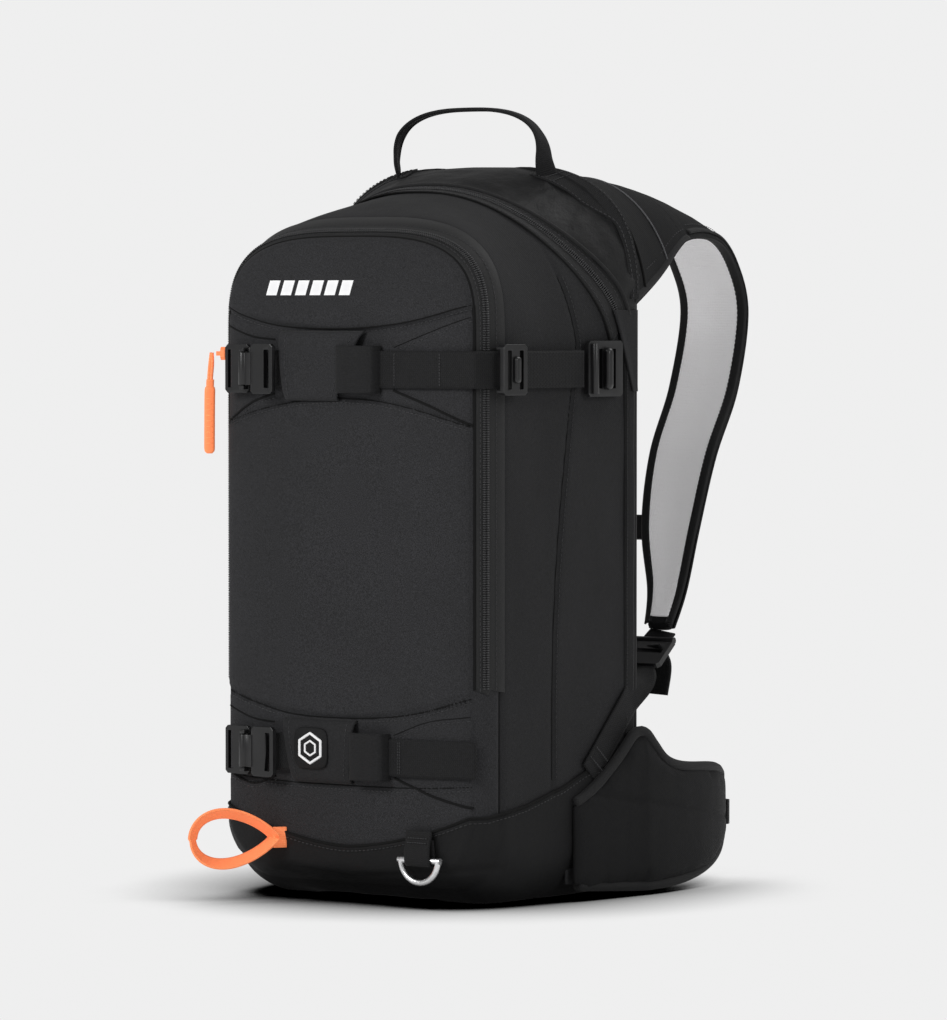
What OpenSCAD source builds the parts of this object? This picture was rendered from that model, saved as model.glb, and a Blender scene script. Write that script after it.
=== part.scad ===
// Ski-touring avalanche backpack with a folding-balloon inflation system.
// Frame: +X is the wearer's right, +Y is the way the wearer faces, +Z is up.
// The origin is on the ground, under the middle of the bag.

/* [Bag] */
// Height of the bag, ground to crown
bag_h = 500; // [480:5:520]
// Half width at the front edge
front_hw = 112; // [106:1:116]
// Half width at the back edge
back_hw = 128; // [124:1:132]
// Depth of the main compartment
bag_depth = 138; // [130:1:146]
// How far the front pocket bulges
pocket_bulge = 12; // [8:1:14]
// Thickness of the back pad
pad_t = 11; // [9:0.5:12]
// Thickness given to one fabric wall
skin = 2; // [1.5:0.1:2.5]

/* [Straps] */
// Width of the load webbing
web_w = 25; // [25:1:28]
// Thickness of the load webbing
web_t = 1.6; // [1.2:0.1:2]
// Height of the upper carry strap above the ground
upper_z = 362; // [350:1:370]
// Height of the lower carry strap above the ground
lower_z = 101; // [96:1:106]
// Height of the chest strap above the ground
chest_z = 252; // [246:1:258]
// Thickness of a shoulder pad
shoulder_t = 8; // [6:0.5:9]

/* [Hip belt] */
// Height of a hip fin
fin_h = 86; // [80:1:92]
// Thickness of a hip fin
fin_t = 11; // [8:1:12]

/* [Airbag] */
// Radius of the gas cartridge
cartridge_r = 21; // [18:0.5:22]
// Length of the cartridge's straight wall
cartridge_len = 130; // [120:1:140]

/* [Hidden] */
$fn = 32;
front_y = -66;
rim_y = front_y + bag_depth;
pad_y = rim_y + 2;
crown_front = bag_h - 39;
base_corner = 36;
front_rise = 10;
foot = 1;
rise_from = -35;
zip_inset = 10;
pocket_y = front_y - 16;
pocket_mid_z = 240;
pocket_hw = front_hw - zip_inset;

charcoal = [0.17, 0.17, 0.18];
black = [0.07, 0.07, 0.075];
orange = [0.98, 0.42, 0.2];
grey = [0.55, 0.55, 0.56];
silver = [0.8, 0.8, 0.82];

// ---------------------------------------------------------------- list helpers

function flat(lists) = [for (l = lists) each l];
function mid(points) = [for (k = [0:2]) let (v = [for (p = points) p[k]]) (min(v) + max(v)) / 2];
function unit(v) = v / norm(v);

// Catmull-Rom curve through the keys, with a number of steps between each pair.
function spline(keys, steps) = let (n = len(keys) - 1) [
    for (i = [0:n - 1], s = [0:steps - 1])
        let (t = s / steps, a = keys[max(i - 1, 0)], b = keys[i], c = keys[i + 1], d = keys[min(i + 2, n)])
            0.5 * ((2 * b) + (c - a) * t + (2 * a - 5 * b + 4 * c - d) * t * t
                + (3 * b - a - 3 * c + d) * t * t * t),
    keys[n]
];

// Left-hand normal in plan of a path of [x, y] points.
function plan_normal(path, i) =
    let (a = path[max(i - 1, 0)], b = path[min(i + 1, len(path) - 1)], d = unit([b[0] - a[0], b[1] - a[1]]))
        [d[1], -d[0]];

// ---------------------------------------------------------------- solids from point grids

// Closed solid between two grids of points that share their rows and columns.
module slab(outer, inner) {
    m = len(outer);
    n = len(outer[0]);
    q = m * n;
    function at(i, j) = i * n + j;
    top = [for (i = [0:m - 2], j = [0:n - 2]) each [
        [at(i, j), at(i + 1, j), at(i + 1, j + 1)], [at(i, j), at(i + 1, j + 1), at(i, j + 1)]]];
    low = [for (i = [0:m - 2], j = [0:n - 2]) each [
        [q + at(i, j), q + at(i + 1, j + 1), q + at(i + 1, j)],
        [q + at(i, j), q + at(i, j + 1), q + at(i + 1, j + 1)]]];
    ends = [for (j = [0:n - 2]) each [
        [at(0, j), at(0, j + 1), q + at(0, j)], [at(0, j + 1), q + at(0, j + 1), q + at(0, j)],
        [at(m - 1, j + 1), at(m - 1, j), q + at(m - 1, j)],
        [at(m - 1, j + 1), q + at(m - 1, j), q + at(m - 1, j + 1)]]];
    sides = [for (i = [0:m - 2]) each [
        [at(i + 1, 0), at(i, 0), q + at(i, 0)], [at(i + 1, 0), q + at(i, 0), q + at(i + 1, 0)],
        [at(i, n - 1), at(i + 1, n - 1), q + at(i, n - 1)],
        [at(i + 1, n - 1), q + at(i + 1, n - 1), q + at(i, n - 1)]]];
    polyhedron(concat(flat(outer), flat(inner)), concat(top, low, ends, sides));
}

// Faces that join ring i to ring i + 1, with n points a ring, from vertex number base.
function band(base, n, rings) = [for (i = [0:rings - 2], j = [0:n - 1]) let (
    a = base + i * n + j, b = base + i * n + (j + 1) % n) each [[a, b, b + n], [a, b + n, a + n]]];
function fan(centre, base, n) = [for (j = [0:n - 1]) [centre, base + (j + 1) % n, base + j]];
function flip(faces) = [for (f = faces) [f[0], f[2], f[1]]];

// Solid through a stack of rings, closed at both ends.
module loft(rings) {
    n = len(rings[0]);
    m = len(rings);
    points = concat(flat(rings), [mid(rings[0]), mid(rings[m - 1])]);
    polyhedron(points, concat(band(0, n, m), fan(m * n, 0, n), flip(fan(m * n + 1, (m - 1) * n, n))));
}

// Cup with walls: rings run from the rim to the closed end, outside and inside.
module cup(outer, inner, tip, inner_tip) {
    n = len(outer[0]);
    m = len(outer);
    k = len(inner);
    q = m * n;
    points = concat(flat(outer), flat(inner), [tip, inner_tip]);
    rim = [for (j = [0:n - 1]) let (a = j, b = (j + 1) % n) each [[b, a, q + a], [b, q + a, q + b]]];
    polyhedron(points, concat(
        band(0, n, m), flip(band(q, n, k)), rim,
        flip(fan(q + k * n, (m - 1) * n, n)), fan(q + k * n + 1, q + (k - 1) * n, n)));
}

// Flat webbing that stands on edge: it follows a path of [x, y] points at height z.
module upright_web(path, z, width, thick) {
    function row(i, off) = let (p = [path[i][0], path[i][1]] + plan_normal(path, i) * off)
        [[p[0], p[1], z - width / 2], [p[0], p[1], z + width / 2]];
    slab([for (i = [0:len(path) - 1]) row(i, 0)], [for (i = [0:len(path) - 1]) row(i, -thick)]);
}

// Round cord along a list of points.
module cord(path, r) {
    sides = 10;
    function frame(i) = let (
        d = unit(path[min(i + 1, len(path) - 1)] - path[max(i - 1, 0)]),
        u = unit(cross(d, abs(d[0]) < 0.8 ? [1, 0, 0] : [0, 1, 0])))
        [u, cross(d, u)];
    loft([for (i = [0:len(path) - 1]) let (f = frame(i))
        [for (a = [0:sides - 1]) let (t = -a * 360 / sides)
            path[i] + r * (f[0] * cos(t) + f[1] * sin(t))]]);
}

// Rectangular plate with cut corners, lying in XY, its underside at z = 0.
module plate(w, h, t, c = 2) {
    linear_extrude(t) polygon([
        [-w / 2 + c, -h / 2], [w / 2 - c, -h / 2], [w / 2, -h / 2 + c], [w / 2, h / 2 - c],
        [w / 2 - c, h / 2], [-w / 2 + c, h / 2], [-w / 2, h / 2 - c], [-w / 2, -h / 2 + c]]);
}

// Plate with a row of slots across it: each slot is [middle, width].
module slotted_plate(w, h, t, slots, slot_h) {
    difference() {
        plate(w, h, t);
        for (s = slots) translate([s[0] - s[1] / 2, -slot_h / 2, -1]) cube([s[1], slot_h, t + 2]);
    }
}

// ---------------------------------------------------------------- shape of the bag

function share(y) = (y - front_y) / bag_depth;
function half_width(y) = front_hw + (back_hw - front_hw) * share(y);
function crown(y) = crown_front + (bag_h - crown_front) * pow(min(1, max(share(y), 0)), 0.7);
// Value at depth y of a parabola through its values at the front, at y = 0 and at the back.
function through(y, front, middle, back) =
    let (a = (front - middle) / front_y, b = (back - middle) / rim_y, c = (b - a) / (rim_y - front_y))
        middle + (a - c * front_y) * y + c * y * y;
function shoulder_z(y) = through(y, 385, 350, 398);
function squareness(y) = through(y, 3.2, 2.25, 3);
function floor_z(y) =
    foot + (y < rise_from ? front_rise * pow((rise_from - y) / (rise_from - front_y), 2) : 0);

// Half of a section of the bag at depth y, from the middle of the floor to the crown.
function half_section(y, inset) =
    let (hw = half_width(y) - inset, low = floor_z(y) + inset, top = crown(y) - inset,
        r = base_corner, e = 2 / squareness(y), sz = shoulder_z(y))
    concat(
        [[0, y, low], [(hw - r) / 2, y, low]],
        [for (a = [0:22.5:90]) [hw - r + r * sin(a), y, low + r - r * cos(a)]],
        [[hw, y, 180], [hw, y, 290]],
        [for (a = [0:10:90]) [hw * pow(cos(a), e), y, sz + (top - sz) * pow(sin(a), e)]]);

// Whole section, as a ring.
function section(y, inset) =
    let (h = half_section(y, inset), n = len(h))
        concat(h, [for (i = [n - 2:-1:1]) [-h[i][0], h[i][1], h[i][2]]]);

// Depth of the pocket's front surface at x, z.
pocket_half_h = crown_front - zip_inset - pocket_mid_z;
function pocket_front(x, z) =
    let (r = min(1, max(abs(x) / pocket_hw, abs(z - pocket_mid_z) / pocket_half_h)))
        pocket_y - pocket_bulge * sqrt(1 - pow(r, 4));

module main_shell() {
    stations = [[rim_y, 0], [45, 0], [20, 0], [-10, 0], [-40, 0], [-56, 0], [-63, 2.5], [front_y, 8]];
    color(charcoal) cup(
        [for (s = stations) section(s[0], 3 + s[1])],
        [for (s = stations) section(max(s[0], front_y + skin), 3 + skin + s[1])],
        [0, front_y, pocket_mid_z], [0, front_y + skin, pocket_mid_z]);
}

// Reinforced tray under the bag, deeper at the back than at the front.
module base_panel() {
    stations = [[rim_y, 0], [30, 0], [0, 0], [-20, 0], [rise_from, 0], [-52, 0], [front_y, 0],
        [-71, 1.6], [-76, 4], [pocket_y - 0.6, 7.6]];
    function edge(y) = 56 + 32 * share(y);
    function strip(y, inset) = let (h = half_section(y, inset),
        half = concat([for (i = [1:6]) h[i]], [[h[6][0], y, edge(y)]]), n = len(half))
        concat([for (i = [n - 1:-1:0]) [-half[i][0], y, half[i][2]]], [h[0]], half);
    color(black) {
        slab([for (s = stations) strip(s[0], s[1])], [for (s = stations) strip(s[0], s[1] + 1.9)]);
        translate([0, (rim_y + rise_from) / 2, 0]) plate(176, rim_y - rise_from - 8, 2, 12);
    }
}

// The main zip runs in a plane that leans back; this is its depth at height z.
zip_pivot = [0, 69.4, 379];
zip_lean = 0.6486;
function zip_depth(z) = zip_pivot[1] - zip_lean * (z - zip_pivot[2]);
function on_arch(a, y, inset) =
    let (hw = half_width(y) - inset, top = crown(y) - inset, e = 2 / squareness(y), sz = shoulder_z(y))
        [sign(cos(a)) * hw * pow(abs(cos(a)), e), y, sz + (top - sz) * pow(sin(a), e)];
function zip_point(a, shift, inset) =
    let (y1 = zip_depth(on_arch(a, 20, 0)[2]), y2 = zip_depth(on_arch(a, y1, 0)[2]),
        y3 = zip_depth(on_arch(a, y2, 0)[2]))
        on_arch(a, min(y3 + shift, rim_y - 1), inset);

module main_zip() {
    angles = [12:6.5:168];
    color(black) {
        slab([for (a = angles) [zip_point(a, -9, -1.2), zip_point(a, 6, -1.2)]],
            [for (a = angles) [zip_point(a, -9, 0.2), zip_point(a, 6, 0.2)]]);
    }
}

module airbag_cover() {
    angles = [2:8:178];
    function row(a, inset) = [for (s = [7.5, 26, 60]) zip_point(a, s, inset)];
    color(black) slab([for (a = angles) row(a, -2.2)], [for (a = angles) row(a, -0.2)]);
}

// ---------------------------------------------------------------- front pocket

function pocket_ring(q, inset) =
    let (rim = section(front_y, zip_inset + inset), k = 1 - q)
        [for (p = rim) [p[0] * k, pocket_y - (pocket_bulge - inset) * sqrt(1 - pow(k, 4)),
            pocket_mid_z + (p[2] - pocket_mid_z) * k]];
function pocket_foot(inset) = [for (p = section(front_y, 3.2 + inset)) [p[0], front_y - 0.5, p[2]]];

module front_pocket() {
    steps = [0, 0.02, 0.06, 0.12, 0.22, 0.38, 0.6, 0.8];
    color(charcoal) cup(
        concat([pocket_foot(0)], [for (q = steps) pocket_ring(q, 0)]),
        concat([pocket_foot(skin)], [for (q = steps) pocket_ring(q, skin)]),
        [0, pocket_y - pocket_bulge, pocket_mid_z], [0, pocket_y - pocket_bulge + skin, pocket_mid_z]);
}

// Zip band that covers the corner between the pocket and the bag.
zip_low_z = 144;
function zip_rim(inset, y) = let (h = half_section(max(y, front_y), inset), n = len(h),
    up = concat([[h[7][0], y, zip_low_z]], [for (i = [7:n - 1]) [h[i][0], y, h[i][2]]]), m = len(up))
    concat(up, [for (i = [m - 2:-1:0]) [-up[i][0], y, up[i][2]]]);

module pocket_zip() {
    edge = zip_rim(zip_inset - 0.6, pocket_y - 0.8);
    wall = zip_rim(1, front_y + 1);
    lap = zip_rim(-0.8, front_y + 7);
    lap_in = zip_rim(1, front_y + 7);
    color(black) slab(
        [for (i = [0:len(edge) - 1]) [edge[i], wall[i] + [0, -1.2, 0], lap[i]]],
        [for (i = [0:len(edge) - 1]) [edge[i] + [0, 0.7, 0], wall[i] + [0, 0.2, 0], lap_in[i]]]);
}

// Zip slider: a body that straddles the coil, with a bridge that the pull hangs from.
module slider_body() {
    plate(9, 13, 3.2, 2);
    for (s = [-1, 1]) translate([-1.5, s * 4 - 0.8, 3.1]) cube([3, 1.6, 3.4]);
    translate([0, 0, 5.4]) rotate([90, 0, 0]) cylinder(r = 1, h = 9.6, center = true);
}

slider_z = 372;
slider_at = [-110.5, -75, slider_z];
slider_turn = -158;

module pocket_zip_slider() {
    color(orange) translate(slider_at) rotate([0, 0, slider_turn]) rotate([90, 0, 90])
        rotate([0, 0, 90]) slider_body();
}

// Cord loop and moulded grip that hang from the slider.
pull_len = 72;
module pull(side_x, side_y) {
    at = slider_at + [side_x, side_y, 0];
    cord([at + [0, 0, 1], at + [-0.6, -0.4, -12], at + [-1.5, -1, -24]], 1.3);
    translate(at + [-1.5, -1, -24 - 46]) cylinder(r = 3.6, h = 46);
}

module pocket_zip_pull() {
    color(orange) pull(-7.6, -5.6);
}

// ---------------------------------------------------------------- main zip slider

main_slider_a = 166;
main_slider_gap = 3.4;
main_slider_at = zip_point(main_slider_a, 0, -main_slider_gap);
module main_zip_slider() {
    color(black) translate(main_slider_at) rotate([0, -90, 0]) plate(13, 9, 4, 2);
}

module main_zip_pull() {
    color(black) translate(main_slider_at + [-5.4, 0, 0]) {
        rotate([90, 0, 0]) cylinder(r = 1, h = 6, center = true);
        translate([-0.8, -2.5, -34]) cube([1.6, 5, 34]);
    }
}

// ---------------------------------------------------------------- carry straps on the front

// Path over the front of the pocket, from x1 to x2, standing off by gap.
function front_path(x1, x2, z, gap, count = 8) =
    [for (i = [0:count]) let (x = x1 + (x2 - x1) * i / count) [x, pocket_front(x, z) - gap]];
function corner_path(gap) = concat(
    [for (a = [60, 27]) [pocket_hw + 0.6 + gap * cos(a), pocket_y - 0.8 - gap * sin(a)]],
    [[front_hw - 1 + 0.9 * gap, front_y - 0.45 * gap]]);
function side_path(y1, y2, gap, count = 6) =
    [for (i = [0:count]) let (y = y1 + (y2 - y1) * i / count) [half_width(y) + gap, y]];

module upper_strap() {
    color(black) upright_web(concat(
        front_path(-44, 96, upper_z, 2.4), corner_path(4.8), side_path(-58, side_buckle_y - 22, 5.2)),
        upper_z, web_w, web_t);
}

module lower_strap() {
    color(black) upright_web(concat(front_path(-44, 96, lower_z, 2.4), corner_path(4.8)),
        lower_z, web_w, web_t);
}

// Wide elastic loop that holds the spare webbing.
module keeper(z, x1, x2) {
    color(black) upright_web(front_path(x1, x2, z, 10.5), z, web_w + 7, 1.6);
    color(black) upright_web(front_path(x1, x1 + 1.6, z, 8.8, 1), z, web_w + 7, 4.7);
    color(black) upright_web(front_path(x2 - 1.6, x2, z, 8.8, 1), z, web_w + 7, 4.7);
}

module upper_keeper() { keeper(upper_z, 0, 34); }
module lower_keeper() { keeper(lower_z, 11, 41); }

// Fabric bridges that the straps run under.
module bridge(z, x1, x2, h) {
    upright_web(front_path(x1, x2, z, 6.6), z, h, 1.6);
}

module strap_bridges() {
    color(charcoal) bridge(upper_z + 4, -46, -3, 54);
    color(charcoal) bridge(lower_z + 3, -46, 6, 58);
}

module front_label() {
    color(silver) upright_web(front_path(-62, 12, 418, 2), 418, 8, 1);
}

// Square patch sewn to the lower bridge.
badge_x = -20;
badge_w = 28;
module front_badge() {
    color(silver) translate([badge_x, pocket_front(badge_x, lower_z) - 8.4, lower_z + 4])
        rotate([90, 0, 0]) plate(badge_w, badge_w, 0.8, 6);
}

// Place a buckle on the front of the pocket: local X runs along the strap, local Z faces out.
hook_x = -72;
module on_front(x, z, gap) {
    turn = atan2(pocket_front(x - 8, z) - pocket_front(x + 8, z), 16);
    translate([x, pocket_front(x, z) - gap, z]) rotate([0, 0, -turn]) rotate([90, 0, 0]) children();
}

// Fixed half of the hook buckle: a plate with an upright pin.
pin_x = -3.2;
pin_height = 6.4;
pin_r = 1.6;
module on_pin() { translate([pin_x, 0, pin_height]) rotate([90, 0, 0]) children(); }

module hook_plate(z) {
    color(black) on_front(hook_x, z, 4) {
        translate([-12, 0, 0]) slotted_plate(22, 33, 3, [[-6.5, 4]], 26);
        on_pin() cylinder(r = pin_r, h = 25, center = true);
        for (s = [-1, 1]) translate([pin_x - 2, s * 13 - 1.2, 2.9]) cube([4, 2.4, 5.3]);
    }
}

// Moving half: a frame that turns on the pin and carries the strap.
module hook_frame(z) {
    color(black) on_front(hook_x, z, 4) difference() {
        union() {
            translate([14, 0, 3.4]) slotted_plate(20, 34, 3.4, [[4.5, 4.6]], 26);
            on_pin() cylinder(r = 2 * pin_r, h = 22, center = true);
            translate([pin_x, -11, 5]) cube([8, 22, 2.6]);
        }
        on_pin() cylinder(r = pin_r + 0.06, h = 40, center = true);
    }
}

module upper_hook_plate() { hook_plate(upper_z); }
module upper_hook_frame() { hook_frame(upper_z); }
module lower_hook_plate() { hook_plate(lower_z); }
module lower_hook_frame() { hook_frame(lower_z); }

// Put a buckle on the side of the bag: local X runs back along the strap, local Z faces out.
side_turn = atan2(back_hw - front_hw, bag_depth);
module on_side(y, z, gap) {
    translate([half_width(y) + gap, y, z]) rotate([0, 0, 90 - side_turn]) rotate([90, 0, 0]) children();
}

triglide_y = -63;
module upper_triglide() {
    color(black) on_side(triglide_y, upper_z, 4.4) difference() {
        plate(24, 34, 7, 2);
        translate([-20, -13.5, -1]) cube([40, 27, 4.2]);
        for (s = [-6, 6]) translate([s - 2, -13, 2]) cube([4, 26, 8]);
    }
}

side_buckle_y = 36;
module upper_side_buckle() {
    color(black) on_side(side_buckle_y, upper_z, 2.4) {
        slotted_plate(36, 38, 3.4, [[-6, 5], [8, 5]], 27);
        translate([-12.4, 0, 4.6]) rotate([90, 0, 0]) cylinder(r = 2.6, h = 34, center = true);
    }
}

// ---------------------------------------------------------------- back system

pad_drop = 30;
function back_ring(y, inset, top_drop) =
    [for (p = section(rim_y, 2.5 + inset)) [p[0], y, p[2] > shoulder_z(rim_y) ? p[2] - top_drop : p[2]]];

module back_pad() {
    color(black) loft([
        back_ring(pad_y + 1.6, 3, pad_drop), back_ring(pad_y + 4, 0, pad_drop),
        back_ring(pad_y + pad_t - 3, 0, pad_drop), back_ring(pad_y + pad_t, 4, pad_drop)]);
}

module lumbar_pad() {
    color(black) translate([0, pad_y + pad_t + 0.3, 72]) rotate([-90, 0, 0]) plate(150, 84, 9, 14);
}

module frame_sheet() {
    ring = [for (p = back_ring(0, 5, pad_drop)) [p[0], p[2]]];
    color(grey) translate([0, rim_y + 1.8, 0]) rotate([90, 0, 0]) linear_extrude(1.5) polygon(ring);
}

module frame_stays() {
    color(silver) for (s = [-1, 1]) translate([s * 45 - 10, rim_y - 3.4, 24]) cube([20, 3, 420]);
}

module inner_sleeve() {
    color(grey) translate([-80, rim_y - 12, 20]) cube([160, 1.5, 300]);
}

module tool_sleeves() {
    color(grey) for (s = [-1, 1]) translate([s * 34 - 30, front_y - 12, 90]) cube([60, 1.5, 290]);
}

// ---------------------------------------------------------------- grab handle

handle_hw = 64;
handle_z = bag_h + 5;
handle_y = 58;
handle_rise = 38;
module grab_handle() {
    angles = [0:12:180];
    function ring(a, grow) = let (e = 0.74, w = 10 - 4 * pow(sin(a), 2))
        [for (s = [-w, w]) [(handle_hw + grow) * sign(cos(a)) * pow(abs(cos(a)), e), handle_y + s,
            handle_z + (handle_rise + grow) * pow(sin(a), e)]];
    color(black) slab([for (a = angles) ring(180 - a, 0)], [for (a = angles) ring(180 - a, -3)]);
}

// ---------------------------------------------------------------- shoulder straps

// Keys down a strap: the inner edge, the outer edge and the crown between them.
strap_inner = [[28, 64, 503], [38, 110, 499], [50, 158, 489], [55, 205, 467], [53, 240, 436],
    [52, 256, 400], [55, 236, 345], [62, 200, 298], [74, 172, 248], [92, 154, 205], [103, 134, 178]];
strap_outer = [[131, 64, 402], [126, 108, 424], [119, 155, 453], [113, 205, 455], [107, 240, 436],
    [106, 256, 400], [110, 236, 345], [116, 198, 298], [119, 171, 248], [120, 152, 205], [122, 132, 178]];
strap_crown = [36, 22, 10, 6, 4, 4, 4, 4, 4, 2, 1];

function at_key(keys, t) =
    let (n = len(keys) - 1, i = min(floor(t), n - 1), f = t - i,
        a = keys[max(i - 1, 0)], b = keys[i], c = keys[i + 1], d = keys[min(i + 2, n)])
        0.5 * ((2 * b) + (c - a) * f + (2 * a - 5 * b + 4 * c - d) * f * f
            + (3 * b - a - 3 * c + d) * f * f * f);

// Rows across the strap from key t1 to key t2: a crowned sheet, lowered by under.
function strap_rows(t1, t2, count, under) = [for (i = [0:count]) let (
    t = t1 + (t2 - t1) * i / count,
    a = at_key(strap_inner, t), b = at_key(strap_outer, t),
    h = at_key([for (k = strap_crown) [k, 0]], t)[0],
    along = unit(at_key(strap_inner, t + 0.01) + at_key(strap_outer, t + 0.01)
        - at_key(strap_inner, t - 0.01) - at_key(strap_outer, t - 0.01)),
    out = unit(cross(along, a - b)))
    [for (s = [0:0.2:1]) a + (b - a) * s + out * (h * 4 * s * (1 - s) - under)]];

// The yoke is the part sewn to the bag; the strap hangs from its edge.
yoke_end = 2;
strap_start = 2.06;
strap_end = 9.98;
module strap_sheet(side, t1, t2, count) {
    color(black) mirror([side > 0 ? 0 : 1, 0, 0])
        slab(strap_rows(t1, t2, count, 0), strap_rows(t1, t2, count, shoulder_t));
}

module yoke_panel() {
    for (side = [1, -1]) strap_sheet(side, 0.56, yoke_end, 5);
}

module shoulder_strap_right() { strap_sheet(1, strap_start, strap_end, 24); }
module shoulder_strap_left() { strap_sheet(-1, strap_start, strap_end, 24); }

// Lower webbing: from the foot of the bag's side up to the ladder lock.
anchor_x = 125;
anchor_z = 131;
anchor_len = 25;
lock_at = [112, 118, 164];
lock_tilt = 38;
module strap_anchors() {
    for (side = [1, -1]) color(black) mirror([side > 0 ? 0 : 1, 0, 0])
        translate([anchor_x - web_w, pad_y + pad_t + 2, anchor_z]) rotate([lock_tilt, 0, 0])
            cube([web_w, anchor_len, web_t]);
}

// Ladder lock: a plate with two slots that hangs from a bar at the foot of the strap.
module ladder_lock(side) {
    color(black) mirror([side > 0 ? 0 : 1, 0, 0]) translate(lock_at) rotate([lock_tilt, 0, 0]) {
        translate([0, -3, 0]) slotted_plate(33, 27, 4, [[0, 26]], 4);
        translate([0, 9, 3]) rotate([0, 90, 0]) cylinder(r = 2.4, h = 33, center = true);
    }
}

module ladder_lock_right() { ladder_lock(1); }
module ladder_lock_left() { ladder_lock(-1); }

// ---------------------------------------------------------------- chest strap

// A rail on each shoulder strap, a slider on the rail, and webbing to the buckle in the middle.
chest_y = 183;
rail_lean = 32.5;
rail_x = 92;
rail_stand = 6.2;
rail_r = 1.6;
rail_len = 84;
module on_rail(side) {
    mirror([side > 0 ? 0 : 1, 0, 0]) translate([rail_x, chest_y, chest_z]) rotate([-rail_lean, 0, 0])
        translate([0, rail_stand, 0]) children();
}

module chest_rail(side) {
    color(black) on_rail(side) {
        cylinder(r = rail_r, h = rail_len, center = true);
        for (end = [-1, 1]) translate([-2.5, -4.6, end * (rail_len / 2 + 1) - 2]) cube([5, 6.2, 4]);
    }
}

module chest_slider(side) {
    web_from = 16;
    color(black) {
        on_rail(side) difference() {
            translate([-7, -4, -10]) cube([14, 9, 20]);
            cylinder(r = rail_r + 0.06, h = 60, center = true);
        }
        on_rail(side) translate([web_from - rail_x + 6, 2, -10]) cube([rail_x - web_from - 12.9, 1.6, 20]);
    }
}

module chest_rail_right() { chest_rail(1); }
module chest_rail_left() { chest_rail(-1); }
module chest_slider_right() { chest_slider(1); }
module chest_slider_left() { chest_slider(-1); }

module chest_buckle_female() {
    color(black) on_rail(1) translate([-rail_x, 0, 0]) difference() {
        translate([-6, -2, -13]) cube([30, 9, 26]);
        translate([-7, -0.2, -8.6]) cube([22, 5.4, 17.2]);
        translate([18, 0.6, -10.8]) cube([12, 4, 21.6]);
    }
}

module chest_buckle_male() {
    color(black) on_rail(-1) translate([-rail_x, 0, 0]) {
        translate([7, 0, -11]) cube([8.4, 5, 22]);
        for (s = [-1, 1]) translate([-9, 0.6, s * 5.6 - 2]) cube([16.1, 3.8, 4]);
        translate([-8, 1, -1.5]) cube([15.1, 3, 3]);
    }
}

// ---------------------------------------------------------------- hip belt

// Plan of the right fin's outer face.
fin_plan = [[143, 72], [146, 104], [145, 137], [139, 169], [128, 194], [116, 211]];
fin_path = spline(fin_plan, 3);
// Height limits of the fin along its length, s from 0 at the root to 1 at the tip.
function fin_low(s) = 3 + 34 * pow(s, 4);
function fin_high(s) = fin_h + 14 * pow(1 - s, 3) - 34 * pow(s, 5);

module fin(path, s1, s2) {
    n = len(path) - 1;
    function column(i, off) = let (s = s1 + (s2 - s1) * i / n,
        p = [path[i][0], path[i][1]] - plan_normal(path, i) * off)
        [for (k = [0:5]) let (t = k / 5) [p[0], p[1], fin_low(s) * (1 - t) + fin_high(s) * t]];
    slab([for (i = [0:n]) column(i, 0)], [for (i = [0:n]) column(i, fin_t)]);
}

module hip_fin_right() { color(black) fin(fin_path, 0, 1); }
module hip_fin_left() { color(black) mirror([1, 0, 0]) fin(fin_path, 0, 1); }

// Part of the fin that is sewn to the side of the bag.
function base_path() = [for (y = [0:17:68]) [half_width(y) + 3 + fin_t - 6 * (68 - y) / 68, y]];
module hip_bases() {
    n = len(base_path()) - 1;
    function column(i, off) =
        let (p = base_path()[i], s = i / n, low = 4 + 18 * (1 - s), high = 60 + 40 * s)
        [for (k = [0:3]) [p[0] - off, p[1], low + (high - low) * k / 3]];
    for (side = [1, -1]) color(black) mirror([side > 0 ? 0 : 1, 0, 0])
        slab([for (i = [0:n]) column(i, 0)], [for (i = [0:n]) column(i, fin_t - 5 + 4 * i / n)]);
}

// Belt webbing from the fin's tip to its half of the buckle.
belt_z = 52;
belt_plan = [[106, 213], [90, 223], [75, 229.5], [61, 232.5]];
module belt_web(side) {
    color(black) mirror([side > 0 ? 0 : 1, 0, 0]) upright_web(spline(belt_plan, 3), belt_z, web_w, web_t);
}

module hip_webbing_right() { belt_web(1); }
module hip_webbing_left() { belt_web(-1); }

module hip_buckle_male() {
    color(silver) translate([44, 232.4, belt_z]) rotate([90, 0, 0]) {
        slotted_plate(16, 36, 4, [[3.5, 4]], 26);
        translate([-10.5, -6, 0]) cube([5, 12, 4]);
    }
}

// The button stands out of the buckle's outer face, away from the wearer.
module hip_buckle_female() {
    color(silver) translate([-46, 230.4, belt_z]) rotate([-90, 0, 0]) difference() {
        union() {
            plate(24, 36, 4, 3);
            translate([-1, -9, 3.9]) cube([12, 18, 4.1]);
        }
        translate([-9.5, -13, -1]) cube([4, 26, 8]);
        translate([5, 0, 0.5]) cylinder(r = 4.06, h = 12);
    }
}

module hip_buckle_button() {
    color(orange) translate([-41, 233.6, belt_z]) rotate([-90, 0, 0]) cylinder(r = 4, h = 6);
}

// ---------------------------------------------------------------- loops and ring

// A teardrop of webbing whose root is sewn to the front edge; it points out and down the bag's side.
loop_at = [-55, pocket_y - 11, 42];
loop_len = 64;
loop_rise = 24;
loop_w = 14;
loop_t = 1.4;
loop_heading = 233;
module ski_loop() {
    angles = [15:15:345];
    function ring(a, grow) = [for (s = [-loop_w / 2, loop_w / 2]) [
        loop_len * (1 + cos(a + 180)) / 2 + grow * cos(a + 180), s,
        (loop_rise + grow) * sin(a + 180) * pow(sin(a / 2), 0.6)]];
    color(orange) translate(loop_at) rotate([0, 0, loop_heading])
        slab([for (a = angles) ring(a, 0)], [for (a = angles) ring(a, -loop_t)]);
}

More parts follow.
